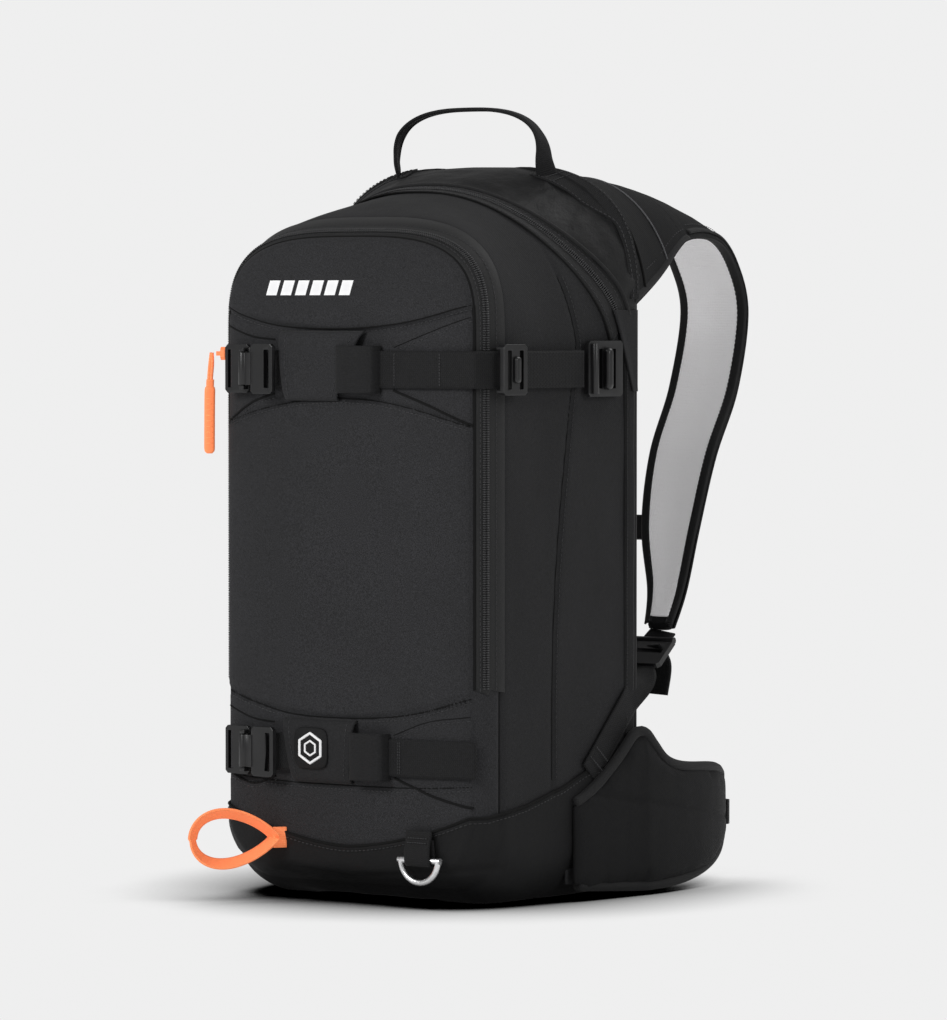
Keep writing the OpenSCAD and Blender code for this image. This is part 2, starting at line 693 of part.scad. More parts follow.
ring_r = 15;
ring_wire = 2.2;
ring_at = [66, pocket_y - 12, 33];
module d_ring() {
    color(silver) translate(ring_at) {
        rotate([90, 0, 0]) rotate([0, 0, 180]) rotate_extrude(angle = 180)
            translate([ring_r, 0]) circle(r = ring_wire);
        rotate([0, 90, 0]) cylinder(r = ring_wire, h = 2 * (ring_r + ring_wire), center = true);
    }
}

module d_ring_tab() {
    color(black) translate(ring_at) difference() {
        union() {
            rotate([0, 90, 0]) cylinder(r = ring_wire + 1.6, h = 20, center = true);
            translate([-10, -0.8, 0]) cube([20, 1.6, 26]);
        }
        rotate([0, 90, 0]) cylinder(r = ring_wire + 0.06, h = 30, center = true);
    }
}

// ---------------------------------------------------------------- airbag system

cart_at = [-82, 20, 96];
module gas_cartridge() {
    color(grey) translate(cart_at) difference() {
        rotate_extrude() polygon(concat(
            [[0, 0], [cartridge_r - 6, 0], [cartridge_r, 6], [cartridge_r, cartridge_len]],
            [for (a = [15:15:75]) [9 + (cartridge_r - 9) * cos(a), cartridge_len + 16 * sin(a)]],
            [[9, cartridge_len + 16], [9, cartridge_len + 30], [0, cartridge_len + 30]]));
        translate([0, 0, cartridge_len + 16]) cylinder(r = 4, h = 20);
    }
}

head_z = cart_at[2] + cartridge_len + 18;
module inflator() {
    color(black) difference() {
        union() {
            translate([cart_at[0], cart_at[1], head_z]) cylinder(r = 17, h = 40);
            translate([cart_at[0], cart_at[1] - 16, head_z + 14]) cube([62, 32, 26]);
        }
        translate([cart_at[0], cart_at[1], head_z - 1]) cylinder(r = 9.05, h = 14);
        translate([cart_at[0], cart_at[1], head_z + 12]) cylinder(r = 2.55, h = 40);
        translate([cart_at[0] + 44, cart_at[1], head_z + 20]) cylinder(r = 11, h = 30);
    }
}

module piercing_pin() {
    color(silver) translate([cart_at[0], cart_at[1], head_z + 15]) {
        cylinder(r = 2.5, h = 34);
        translate([0, 0, 31]) cylinder(r = 6, h = 3);
    }
}

module airbag_balloon() {
    bag_r = 24;
    color(orange) hull() for (x = [-62, 62]) translate([x, 26, 400]) {
        sphere(r = bag_r);
        translate([-x * 0.25, 0, 44]) sphere(r = bag_r - 2);
    }
}

cable_path = spline([[-82, 20, 300], [-96, 30, 350], [-92, 40, 410], [-70, 50, 448], [-62, 62, 470],
    [-66, 84, 471], [-74, 112, 461], [-80, 146, 448]], 3);
module release_cable() { color(black) cord(cable_path, 2.2); }

// Handle that the wearer pulls: a grip on a stem, which sits in a pouch on the left strap.
grip_at = [-82, 262, 352];
grip_lean = -14;
module on_grip() { translate(grip_at) rotate([grip_lean, 0, 0]) children(); }

module release_handle() {
    color(orange) on_grip() {
        translate([0, 0, -46]) rotate([0, 90, 0]) cylinder(r = 7, h = 56, center = true);
        translate([0, 0, -44]) cylinder(r = 5, h = 64);
    }
}

module handle_pouch() {
    color(black) on_grip() difference() {
        translate([-15, -8, -34]) cube([30, 16, 64]);
        translate([0, 0, -60]) cylinder(r = 5.08, h = 85);
    }
}

main_shell();
base_panel();
airbag_cover();
main_zip();
main_zip_slider();
main_zip_pull();
front_pocket();
pocket_zip();
pocket_zip_slider();
pocket_zip_pull();
strap_bridges();
front_label();
front_badge();
upper_strap();
upper_keeper();
upper_hook_plate();
upper_hook_frame();
upper_triglide();
upper_side_buckle();
lower_strap();
lower_keeper();
lower_hook_plate();
lower_hook_frame();
back_pad();
lumbar_pad();
frame_sheet();
frame_stays();
inner_sleeve();
tool_sleeves();
grab_handle();
yoke_panel();
shoulder_strap_right();
shoulder_strap_left();
strap_anchors();
ladder_lock_right();
ladder_lock_left();
chest_rail_right();
chest_rail_left();
chest_slider_right();
chest_slider_left();
chest_buckle_female();
chest_buckle_male();
hip_bases();
hip_fin_right();
hip_fin_left();
hip_webbing_right();
hip_webbing_left();
hip_buckle_male();
hip_buckle_female();
hip_buckle_button();
ski_loop();
d_ring();
d_ring_tab();
airbag_balloon();
inflator();
gas_cartridge();
piercing_pin();
release_cable();
release_handle();
handle_pouch();
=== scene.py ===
import math

import bmesh
import bpy
import numpy as np
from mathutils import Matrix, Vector, noise
from mathutils.bvhtree import BVHTree


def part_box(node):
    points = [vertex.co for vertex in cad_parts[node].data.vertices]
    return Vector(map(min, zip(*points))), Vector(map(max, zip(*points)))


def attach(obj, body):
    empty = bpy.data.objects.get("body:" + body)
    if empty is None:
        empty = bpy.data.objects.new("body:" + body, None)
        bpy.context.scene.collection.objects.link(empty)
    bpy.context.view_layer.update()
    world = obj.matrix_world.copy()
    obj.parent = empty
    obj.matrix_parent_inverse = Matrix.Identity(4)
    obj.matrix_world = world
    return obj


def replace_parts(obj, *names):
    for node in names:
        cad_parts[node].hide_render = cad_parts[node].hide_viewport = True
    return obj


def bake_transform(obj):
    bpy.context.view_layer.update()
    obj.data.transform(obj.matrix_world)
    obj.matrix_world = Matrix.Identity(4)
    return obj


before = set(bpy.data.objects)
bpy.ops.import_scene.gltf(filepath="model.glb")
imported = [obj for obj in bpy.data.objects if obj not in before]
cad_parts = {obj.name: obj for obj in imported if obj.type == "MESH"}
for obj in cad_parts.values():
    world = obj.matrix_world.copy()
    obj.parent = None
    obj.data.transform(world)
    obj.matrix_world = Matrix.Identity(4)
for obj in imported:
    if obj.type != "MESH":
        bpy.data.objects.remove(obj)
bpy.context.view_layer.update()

MM = 0.001
SIDES = ((1, "right"), (-1, "left"))


# ---------------------------------------------------------------- sizes, from the frame (mm)

def box_mm(node):
    low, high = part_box(node)
    return np.array(low) / MM, np.array(high) / MM


SHELL = box_mm("main_shell")
POCKET = box_mm("front_pocket")
BASE = box_mm("base_panel")
FRONT_Y = SHELL[0][1]
RIM_Y = SHELL[1][1]
DEPTH = RIM_Y - FRONT_Y
BACK_HW = BASE[1][0]
FRONT_HW = BACK_HW - 16
BAG_H = SHELL[1][2] + 3
CROWN_FRONT = BAG_H - 39
POCKET_EDGE_Y = FRONT_Y - 16
POCKET_BULGE = POCKET_EDGE_Y - POCKET[0][1]
POCKET_HW = FRONT_HW - 10
POCKET_MID_Z = 240
POCKET_TOP = CROWN_FRONT - 10
UPPER_Z = sum(box_mm("upper_strap")[i][2] for i in (0, 1)) / 2
LOWER_Z = sum(box_mm("lower_strap")[i][2] for i in (0, 1)) / 2
FLOOR_CORNER = 36
ZIP_END_Y = 69.4
ZIP_END_Z = 379
ZIP_SLOPE = 0.6486
WEB_WIDE = 25
NARROW_WEB = 20


# ---------------------------------------------------------------- shape of the bag

def through(y, front, middle, back):
    """Value at depth y of a parabola through its values at the front, at y = 0 and at the rim."""
    a = (front - middle) / FRONT_Y
    b = (back - middle) / RIM_Y
    c = (b - a) / DEPTH
    return middle + (a - c * FRONT_Y) * y + c * y * y


def share(y):
    return (y - FRONT_Y) / DEPTH


def half_width(y):
    return FRONT_HW + (BACK_HW - FRONT_HW) * share(y)


def crown(y):
    return CROWN_FRONT + (BAG_H - CROWN_FRONT) * np.clip(share(y), 0, 1) ** 0.7


def floor_z(y):
    return 1 + (10 * ((-35 - y) / 31) ** 2 if y < -35 else 0)


def arch_form(y):
    """The crown's arch at depth y: its exponent, and the height at which it starts."""
    return 2 / through(y, 3.2, 2.25, 3), through(y, 385, 350, 398)


def half_section(y, out):
    """Dense half section at depth y, from the middle of the floor to the middle of the crown."""
    hw, low, top = half_width(y) + out, floor_z(y) - out, crown(y) + out
    e, sz = arch_form(y)
    corner = FLOOR_CORNER
    floor = [(x, low) for x in np.linspace(0, hw - corner, 24, endpoint=False)]
    bend = [(hw - corner + corner * math.sin(a), low + corner - corner * math.cos(a))
            for a in np.linspace(0, math.pi / 2, 14)]
    side = [(hw, z) for z in np.linspace(low + corner, sz, 80)[1:-1]]
    arch = [(hw * math.cos(a) ** e, sz + (top - sz) * math.sin(a) ** e)
            for a in np.linspace(0, math.pi / 2, 90)[:-1]]
    arch.append((0, top))
    return np.array(floor + bend + side + arch)


def resample(points, count):
    """Evenly spaced points along a polyline."""
    points = np.asarray(points, float)
    steps = np.linalg.norm(np.diff(points, axis=0), axis=1)
    at = np.concatenate([[0], np.cumsum(steps)])
    want = np.linspace(0, at[-1], count)
    return np.stack([np.interp(want, at, points[:, k]) for k in range(points.shape[1])], 1)


def catmull_rom(a, b, c, d, t):
    """Point at t, from 0 to 1, between b and c."""
    return 0.5 * (2 * b + (c - a) * t + (2 * a - 5 * b + 4 * c - d) * t ** 2
                  + (3 * b - a - 3 * c + d) * t ** 3)


def spline(keys, count):
    """Evenly spaced points on a Catmull-Rom curve through the keys."""
    keys = np.asarray(keys, float)
    padded = np.vstack([2 * keys[0] - keys[1], keys, 2 * keys[-1] - keys[-2]])
    dense = []
    for i in range(len(keys) - 1):
        a, b, c, d = padded[i:i + 4]
        dense += [catmull_rom(a, b, c, d, t) for t in np.linspace(0, 1, 24, endpoint=False)]
    dense.append(keys[-1])
    return resample(dense, count)


def ripple(points, size, seed):
    """Smooth noise between -1 and 1 at each point; size is the wave length in mm."""
    shift = Vector((seed * 7.3, seed * 3.1, seed))
    return np.array([noise.noise(Vector(p) / size + shift) for p in points])


def grid_ripple(grid, size, seed, stretch=(1, 1, 1)):
    """Smooth noise for each point of a grid; stretch scales the three directions."""
    return ripple(grid.reshape(-1, 3) * np.array(stretch), size, seed).reshape(grid.shape[:2])


def smooth_share(value, start, end):
    """0 at start, 1 at end, with a soft change between them."""
    t = min(1.0, max(0.0, (value - start) / (end - start)))
    return t * t * (3 - 2 * t)


def power_circle(a, power):
    """Cosine and sine of an angle, each raised to a power with its sign kept."""
    c, s = np.cos(a), np.sin(a)
    return np.sign(c) * np.abs(c) ** power, np.sign(s) * np.abs(s) ** power


def mirrored(points, side):
    return np.asarray(points, float) * [side, 1, 1]


def seam_groove(distance, width, depth):
    return depth * np.exp(-(distance / width) ** 2)


def seam_lines(x):
    """Heights of the seams that cross the pocket: top flap, upper arch, lower edge, base."""
    u = (x / POCKET_HW) ** 2
    return 389 + 14 * u, 342 - 18 * u, 126 + 16 * u, 80 + 3 * u


# ---------------------------------------------------------------- mesh building


def new_piece(name, verts, faces, material, body="pack", smooth=True, uvs=None):
    """Links a mesh made in mm as one piece; body is what it rides on, or None to leave it unattached here."""
    mesh = bpy.data.meshes.new(name)
    corners = [tuple(v) for v in np.asarray(verts, float) * MM]
    mesh.from_pydata(corners, [], [tuple(int(i) for i in f) for f in faces])
    shell = bmesh.new()
    shell.from_mesh(mesh)
    bmesh.ops.recalc_face_normals(shell, faces=shell.faces)
    shell.to_mesh(mesh)
    shell.free()
    if uvs is not None:
        layer = mesh.uv_layers.new(name="weave")
        index = np.zeros(len(mesh.loops), int)
        mesh.loops.foreach_get("vertex_index", index)
        layer.data.foreach_set("uv", np.asarray(uvs, float)[index].astype(np.float32).ravel())
    if smooth:
        mesh.shade_smooth()
    piece = bpy.data.objects.new(name, mesh)
    bpy.context.scene.collection.objects.link(piece)
    mesh.materials.append(material)
    if body:
        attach(piece, body)
    return piece


def grid_faces(rows, cols, wrap=False, start=0):
    faces = []
    for i in range(rows - 1):
        for j in range(cols if wrap else cols - 1):
            a, b = start + i * cols + j, start + i * cols + (j + 1) % cols
            faces.append((a, b, b + cols, a + cols))
    return faces


def tube_faces(rows, cols):
    """Faces of a tube of rings, capped at both ends."""
    caps = [tuple(range(cols))[::-1], tuple(range((rows - 1) * cols, rows * cols))]
    return grid_faces(rows, cols, wrap=True) + caps


def band(a, b, count):
    """Quads between two rings of vertices that start at a and b."""
    return [(a + k, a + (k + 1) % count, b + (k + 1) % count, b + k) for k in range(count)]


def fan(start, count, tip, back=False):
    """Triangles from a ring of vertices to its middle point."""
    pairs = [(start + k, start + (k + 1) % count) for k in range(count)]
    return [(b, a, tip) if back else (a, b, tip) for a, b in pairs]


def slab(outer, inner):
    """Vertices and faces of the closed form between two grids of points."""
    rows, cols = outer.shape[:2]
    q = rows * cols
    loop = (list(range(cols)) + [i * cols + cols - 1 for i in range(1, rows)]
            + [(rows - 1) * cols + j for j in range(cols - 2, -1, -1)]
            + [i * cols for i in range(rows - 2, 0, -1)])
    rim = [(a, q + a, q + b, b) for a, b in zip(loop, loop[1:] + loop[:1])]
    faces = grid_faces(rows, cols) + [f[::-1] for f in grid_faces(rows, cols, start=q)] + rim
    return np.concatenate([outer.reshape(-1, 3), inner.reshape(-1, 3)]), faces


def grid_normals(grid):
    du = np.gradient(grid, axis=0)
    dv = np.gradient(grid, axis=1)
    n = np.cross(dv, du)
    return n / np.maximum(np.linalg.norm(n, axis=2, keepdims=True), 1e-9)


def sheet(name, grid, material, thick, body="pack", flip=False, uvs=None):
    """Closed fabric sheet: the grid is its outer face, and its inner face lies `thick` below."""
    grid = np.asarray(grid, float)
    verts, faces = slab(grid, grid - grid_normals(grid) * (-thick if flip else thick))
    if flip:
        faces = [f[::-1] for f in faces]
    if uvs is not None:
        uvs = np.concatenate([np.asarray(uvs).reshape(-1, 2)] * 2)
    return new_piece(name, verts, faces, material, body, uvs=uvs)


def unit(v):
    v = np.asarray(v, float)
    return v / np.maximum(np.linalg.norm(v, axis=-1, keepdims=True), 1e-9)


def tangents(path):
    return unit(np.gradient(np.asarray(path, float), axis=0))


def ribbon(name, path, out, width, material, thick, body="pack", cols=9, sag=0.0):
    """Flat webbing along a path; out is the way its face looks, one vector or one for each point."""
    path = np.asarray(path, float)
    out = unit(np.broadcast_to(np.asarray(out, float), path.shape))
    across = unit(np.cross(tangents(path), out))
    widths = np.broadcast_to(np.asarray(width, float), (len(path),))
    s = np.linspace(-0.5, 0.5, cols)
    grid = path[:, None] + across[:, None] * (s[None, :, None] * widths[:, None, None])
    grid = grid - out[:, None] * (sag * (2 * s) ** 4)[None, :, None]
    run = np.concatenate([[0], np.cumsum(np.linalg.norm(np.diff(path, axis=0), axis=1))])
    uvs = np.stack([np.broadcast_to(s * widths[:, None], grid.shape[:2]),
                    np.broadcast_to(run[:, None], grid.shape[:2])], 2)
    return sheet(name, grid, material, thick, body, uvs=uvs)


def tube(name, path, radius, material, body="pack", sides=8, closed=False):
    """Round cord along a path, open or closed into a ring."""
    path = np.asarray(path, float)
    count = len(path)
    radii = np.broadcast_to(np.asarray(radius, float), (count,))
    if closed:
        ahead, behind = np.roll(path, -1, 0), np.roll(path, 1, 0)
    else:
        ahead, behind = np.vstack([path[1:], path[-1:]]), np.vstack([path[:1], path[:-1]])
    d = ahead - behind
    d /= np.linalg.norm(d, axis=1, keepdims=True)
    up = np.array([0, 0, 1.0]) if abs(d[0][2]) < 0.8 else np.array([1.0, 0, 0])
    verts = []
    for i in range(count):
        up = up - d[i] * (up @ d[i])
        up /= np.linalg.norm(up)
        side = np.cross(d[i], up)
        for k in range(sides):
            a = 2 * math.pi * k / sides
            verts.append(path[i] + radii[i] * (up * math.cos(a) + side * math.sin(a)))
    if closed:
        faces = grid_faces(count, sides, wrap=True) + band((count - 1) * sides, 0, sides)
    else:
        faces = tube_faces(count, sides)
    return new_piece(name, verts, faces, material, body)


def capsules(name, centres, along, out, length, radius, material, body="pack"):
    """Many small rounded bars in one mesh, for stitches or zip teeth; out is the way their tops face."""
    verts, faces = [], []
    profile = [(-0.5, 0.0), (-0.42, 0.75), (0, 1.0), (0.42, 0.75), (0.5, 0.0)]
    sides = 6
    centres = np.asarray(centres, float)
    along = np.broadcast_to(np.asarray(along, float), centres.shape)
    out = np.broadcast_to(np.asarray(out, float), centres.shape)
    for c, a, o in zip(centres, along, out):
        a = a / max(np.linalg.norm(a), 1e-9)
        o = o - a * (o @ a)
        o /= max(np.linalg.norm(o), 1e-9)
        b = np.cross(a, o)
        start = len(verts)
        verts.append(c + a * length * profile[0][0])
        for t, r in profile[1:-1]:
            for k in range(sides):
                w = 2 * math.pi * k / sides
                verts.append(c + a * length * t + radius * r * (o * math.cos(w) + b * math.sin(w)))
        verts.append(c + a * length * profile[-1][0])
        last = len(verts) - 1
        for k in range(sides):
            faces.append((start, start + 1 + (k + 1) % sides, start + 1 + k))
            faces.append((last, last - sides + k, last - sides + (k + 1) % sides))
        for ring in range(2):
            for k in range(sides):
                p, q = start + 1 + ring * sides + k, start + 1 + ring * sides + (k + 1) % sides
                faces.append((p, q, q + sides, p + sides))
    return new_piece(name, verts, faces, material, body)


def stitches(name, path, out, material, body="pack", pitch=3.4, length=2.3, radius=0.28, lift=0.15):
    """A row of stitches along a path; out is the surface normal, one vector or one for each point."""
    path = np.asarray(path, float)
    total = np.linalg.norm(np.diff(path, axis=0), axis=1).sum()
    count = max(2, int(total / pitch))
    fine = resample(path, count * 2 + 1)
    centres = fine[1::2]
    along = fine[2::2] - fine[0:-1:2]
    out = np.asarray(out, float)
    if out.ndim == 1:
        normals = np.broadcast_to(out, centres.shape)
    else:
        pick = np.linspace(0, len(out) - 1, len(centres)).round().astype(int)
        normals = out[pick]
    return capsules(name, centres + normals * lift, along, normals, length, radius, material, body)


def bar(name, path, wide, deep, side, material, body="pack", power=0.6, count=20):
    """Rounded bar: superellipse sections, wide along `side` and deep across it, closed at both ends."""
    path = np.asarray(path, float)
    t = tangents(path)
    side = unit(np.broadcast_to(np.asarray(side, float), path.shape))
    side = unit(side - t * np.sum(side * t, axis=1, keepdims=True))
    other = np.cross(t, side)
    wide = np.broadcast_to(np.asarray(wide, float), (len(path),)) / 2
    deep = np.broadcast_to(np.asarray(deep, float), (len(path),)) / 2
    angles = np.linspace(0, 2 * math.pi, count, endpoint=False)
    c, s = power_circle(angles, power)
    verts = [path[i] + side[i] * wide[i] * c[k] + other[i] * deep[i] * s[k]
             for i in range(len(path)) for k in range(count)]
    return new_piece(name, verts, tube_faces(len(path), count), material, body)


def end_round(count, share=0.12):
    """Profile of sizes along a bar whose ends are rounded."""
    t = np.linspace(0, 1, count)
    near = np.minimum(t, 1 - t) / share
    return np.sqrt(1 - (1 - np.clip(near, 0, 1)) ** 2) * 0.75 + 0.25


def points_of(obj):
    """Coordinates of an object's vertices, in mm."""
    points = np.zeros(len(obj.data.vertices) * 3)
    obj.data.vertices.foreach_get("co", points)
    return points.reshape(-1, 3) / MM


def put_points(obj, points):
    obj.data.vertices.foreach_set("co", (points * MM).ravel())


def apply_modifiers(obj):
    mesh = bpy.data.meshes.new_from_object(obj.evaluated_get(bpy.context.evaluated_depsgraph_get()))
    obj.modifiers.clear()
    obj.data = mesh


CLOTH_PRESSURE = 4.0
CLOTH_FRAMES = 20


def puff(obj, voxel, cap):
    """Pads out a closed form by cloth simulation: remesh, inflate, limit each move to cap, subdivide."""
    remesh = obj.modifiers.new("remesh", "REMESH")
    remesh.mode = "VOXEL"
    remesh.voxel_size = voxel * MM
    apply_modifiers(obj)
    start = points_of(obj)
    cloth = obj.modifiers.new("cloth", "CLOTH")
    cloth.settings.use_pressure = True
    cloth.settings.uniform_pressure_force = CLOTH_PRESSURE
    cloth.settings.effector_weights.gravity = 0
    cloth.settings.quality = 4
    cloth.point_cache.frame_start = 1
    cloth.point_cache.frame_end = CLOTH_FRAMES
    for f in range(1, CLOTH_FRAMES + 1):
        bpy.context.scene.frame_set(f)
    apply_modifiers(obj)
    bpy.context.scene.frame_set(1)
    move = points_of(obj) - start
    length = np.linalg.norm(move, axis=1, keepdims=True)
    start = start + move * np.minimum(1, cap / np.maximum(length, 1e-9))
    put_points(obj, start)
    smooth = obj.modifiers.new("subdivide", "SUBSURF")
    smooth.levels = smooth.render_levels = 1
    apply_modifiers(obj)
    obj.data.shade_smooth()
    return obj


def joins(piece):
    """Bakes a piece's transform into its mesh."""
    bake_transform(piece)


# ---------------------------------------------------------------- materials

def link(tree, a, b):
    tree.links.new(a, b)


def math_node(tree, kind, a, b=0.0, c=0.0):
    node = tree.nodes.new("ShaderNodeMath")
    node.operation = kind
    for socket, value in zip(node.inputs, (a, b, c)):
        if isinstance(value, (int, float)):
            socket.default_value = value
        else:
            link(tree, value, socket)
    return node.outputs[0]


def object_position(tree):
    return tree.nodes.new("ShaderNodeTexCoord").outputs["Object"]


def sine_node(tree, value, pitch):
    """Wave of the value that repeats at each pitch."""
    return math_node(tree, "SINE", math_node(tree, "MULTIPLY", value, 2 * math.pi / pitch))


def noise_node(tree, vector, scale, detail, rough=0.55):
    node = tree.nodes.new("ShaderNodeTexNoise")
    node.inputs["Scale"].default_value = scale
    node.inputs["Detail"].default_value = detail
    node.inputs["Roughness"].default_value = rough
    link(tree, vector, node.inputs["Vector"])
    return node.outputs["Fac"]


def color_ramp(tree, value, dark, light, low=0.35, high=0.65):
    ramp = tree.nodes.new("ShaderNodeValToRGB")
    ramp.color_ramp.elements[0].position = low
    ramp.color_ramp.elements[1].position = high
    ramp.color_ramp.elements[0].color = (*dark, 1)
    ramp.color_ramp.elements[1].color = (*light, 1)
    link(tree, value, ramp.inputs[0])
    return ramp.outputs[0]


def mix_color(tree, factor, a, b, mode="MIX"):
    node = tree.nodes.new("ShaderNodeMix")
    node.data_type = "RGBA"
    node.blend_type = mode
    for socket, value in ((node.inputs[0], factor), (node.inputs[6], a), (node.inputs[7], b)):
        if isinstance(value, (int, float)):
            socket.default_value = value
        elif isinstance(value, tuple):
            socket.default_value = (*value, 1)
        else:
            link(tree, value, socket)
    return node.outputs[2]


def base_material(name, roughness, sheen=0.0, metallic=0.0, specular=0.5):
    mat = bpy.data.materials.new(name)
    mat.use_nodes = True
    tree = mat.node_tree
    shader = tree.nodes["Principled BSDF"]
    values = {"Roughness": roughness, "Metallic": metallic, "Sheen Weight": sheen,
              "Sheen Roughness": 0.45, "Specular IOR Level": specular}
    for label, value in values.items():
        shader.inputs[label].default_value = value
    return mat, tree, shader


def add_bump(tree, shader, heights):
    """Chain of bumps: each is (height socket, strength, distance in mm)."""
    normal = None
    for height, strength, distance in heights:
        bump = tree.nodes.new("ShaderNodeBump")
        bump.inputs["Strength"].default_value = strength
        bump.inputs["Distance"].default_value = distance * MM
        link(tree, height, bump.inputs["Height"])
        if normal is not None:
            link(tree, normal, bump.inputs["Normal"])
        normal = bump.outputs[0]
    link(tree, normal, shader.inputs["Normal"])


def weave_height(tree, position, pitch, twill):
    """Over-and-under weave in the plane of the cloth; pitch in mm."""
    split = tree.nodes.new("ShaderNodeSeparateXYZ")
    link(tree, position, split.inputs[0])
    x, y, z = split.outputs
    u = math_node(tree, "ADD", x, y)
    v = math_node(tree, "SUBTRACT", z, math_node(tree, "MULTIPLY", y, 0.5))
    slant = math_node(tree, "ADD", u, math_node(tree, "MULTIPLY", v, twill))
    warp = sine_node(tree, slant, pitch * MM)
    weft = sine_node(tree, v, pitch * MM)
    return math_node(tree, "MULTIPLY", warp, weft)


BLOTCH = 0.12


def fabric(name, dark, light, pitch=1.3, roughness=0.85, sheen=0.05, fleck=1500, weave=0.35,
           crease=0.25, crease_size=38, twill=0.0, specular=0.3):
    """Woven cloth: fibre flecks, a slow change of tone, weave and creases in the bump."""
    mat, tree, shader = base_material(name, roughness, sheen=sheen, specular=specular)
    position = object_position(tree)
    flecks = noise_node(tree, position, fleck, 4, 0.7)
    tone = noise_node(tree, position, 14, 2)
    colour = color_ramp(tree, flecks, dark, light, 0.38, 0.66)
    shade = color_ramp(tree, tone, (1 - BLOTCH,) * 3, (1 + BLOTCH,) * 3, 0.3, 0.7)
    link(tree, mix_color(tree, 1.0, colour, shade, "MULTIPLY"), shader.inputs["Base Color"])
    gloss = math_node(tree, "MULTIPLY_ADD", tone, 0.12, roughness - 0.06)
    link(tree, gloss, shader.inputs["Roughness"])
    add_bump(tree, shader, [
        (noise_node(tree, position, 1000 / crease_size, 5, 0.6), crease, 2.5),
        (noise_node(tree, position, 260, 3), 0.12, 0.5),
        (weave_height(tree, position, pitch, twill), weave, 0.25)])
    return mat


RIB_COLUMN = 2.6


def webbing_material(name, dark, light, rib=1.5):
    """Ribbed webbing: the ribs follow the strap through its weave coordinates, in mm."""
    mat, tree, shader = base_material(name, 0.7, sheen=0.04, specular=0.22)
    uv = tree.nodes.new("ShaderNodeUVMap")
    uv.uv_map = "weave"
    split = tree.nodes.new("ShaderNodeSeparateXYZ")
    link(tree, uv.outputs[0], split.inputs[0])
    u, v = split.outputs[0], split.outputs[1]
    column = sine_node(tree, u, RIB_COLUMN)
    slant = math_node(tree, "MULTIPLY", math_node(tree, "SIGN", column), 0.5)
    rows = sine_node(tree, math_node(tree, "ADD", v, slant), rib)
    half_rows = math_node(tree, "MULTIPLY", rows, 0.5)
    height = math_node(tree, "MULTIPLY_ADD", math_node(tree, "ABSOLUTE", column), 0.6, half_rows)
    position = object_position(tree)
    fuzz = noise_node(tree, position, 900, 3)
    # Colour: random fuzz in tone, plus painted shade that darkens the grooves between the rib rows, the same
    # wave that sinks them in the bump.
    colour = color_ramp(tree, math_node(tree, "MULTIPLY_ADD", rows, 0.18, fuzz), dark, light, 0.3, 0.75)
    link(tree, colour, shader.inputs["Base Color"])
    add_bump(tree, shader, [(noise_node(tree, position, 45, 3), 0.15, 1.0), (height, 0.5, 0.3)])
    return mat


def plastic(name, colour, roughness):
    """Moulded plastic: fine grain, scuffed edges and uneven gloss."""
    mat, tree, shader = base_material(name, roughness, specular=0.5)
    position = object_position(tree)
    edge = tree.nodes.new("ShaderNodeNewGeometry").outputs["Pointiness"]
    scuff = math_node(tree, "MULTIPLY", color_ramp(tree, edge, (0, 0, 0), (1, 1, 1), 0.52, 0.6),
                      noise_node(tree, position, 300, 4))
    worn = tuple(min(1, c * 1.6 + 0.02) for c in colour)
    link(tree, mix_color(tree, scuff, colour, worn), shader.inputs["Base Color"])
    link(tree, math_node(tree, "MULTIPLY_ADD", noise_node(tree, position, 90, 3), 0.22, roughness - 0.11),
         shader.inputs["Roughness"])
    add_bump(tree, shader, [(noise_node(tree, position, 1600, 2), 0.12, 0.12)])
    return mat


def metal(name, colour, roughness=0.28):
    mat, tree, shader = base_material(name, roughness, metallic=1.0)
    position = object_position(tree)
    brush = noise_node(tree, position, 420, 4)
    link(tree, color_ramp(tree, brush, tuple(c * 0.88 for c in colour), colour), shader.inputs["Base Color"])
    link(tree, math_node(tree, "MULTIPLY_ADD", brush, 0.2, roughness - 0.1), shader.inputs["Roughness"])
    add_bump(tree, shader, [(brush, 0.08, 0.1)])
    return mat


def mesh_cloth(name, thread, hole, cell):
    """Open spacer mesh: a net of threads over holes; cell in mm."""
    mat, tree, shader = base_material(name, 0.8, sheen=0.05, specular=0.2)
    position = object_position(tree)
    cells = tree.nodes.new("ShaderNodeTexVoronoi")
    cells.inputs["Scale"].default_value = 1000 / cell
    cells.inputs["Randomness"].default_value = 0.25
    link(tree, position, cells.inputs["Vector"])
    distance = cells.outputs["Distance"]
    # Painted shade: the holes, which the bump sinks, are coloured darker than the threads.
    link(tree, color_ramp(tree, distance, hole, thread, 0.12, 0.34), shader.inputs["Base Color"])
    add_bump(tree, shader, [(noise_node(tree, position, 30, 4), 0.2, 2.0), (distance, 0.5, 0.6)])
    return mat


# Painted light: emission makes a material glow, though it is no lamp.
def add_glow(mat, colour, strength):
    shader = mat.node_tree.nodes["Principled BSDF"]
    shader.inputs["Emission Color"].default_value = (*colour, 1)
    shader.inputs["Emission Strength"].default_value = strength


HEATHER = fabric("heather_cloth", (0.0085, 0.0085, 0.0092), (0.031, 0.031, 0.034), fleck=1300, crease=0.3,
                 sheen=0.04)
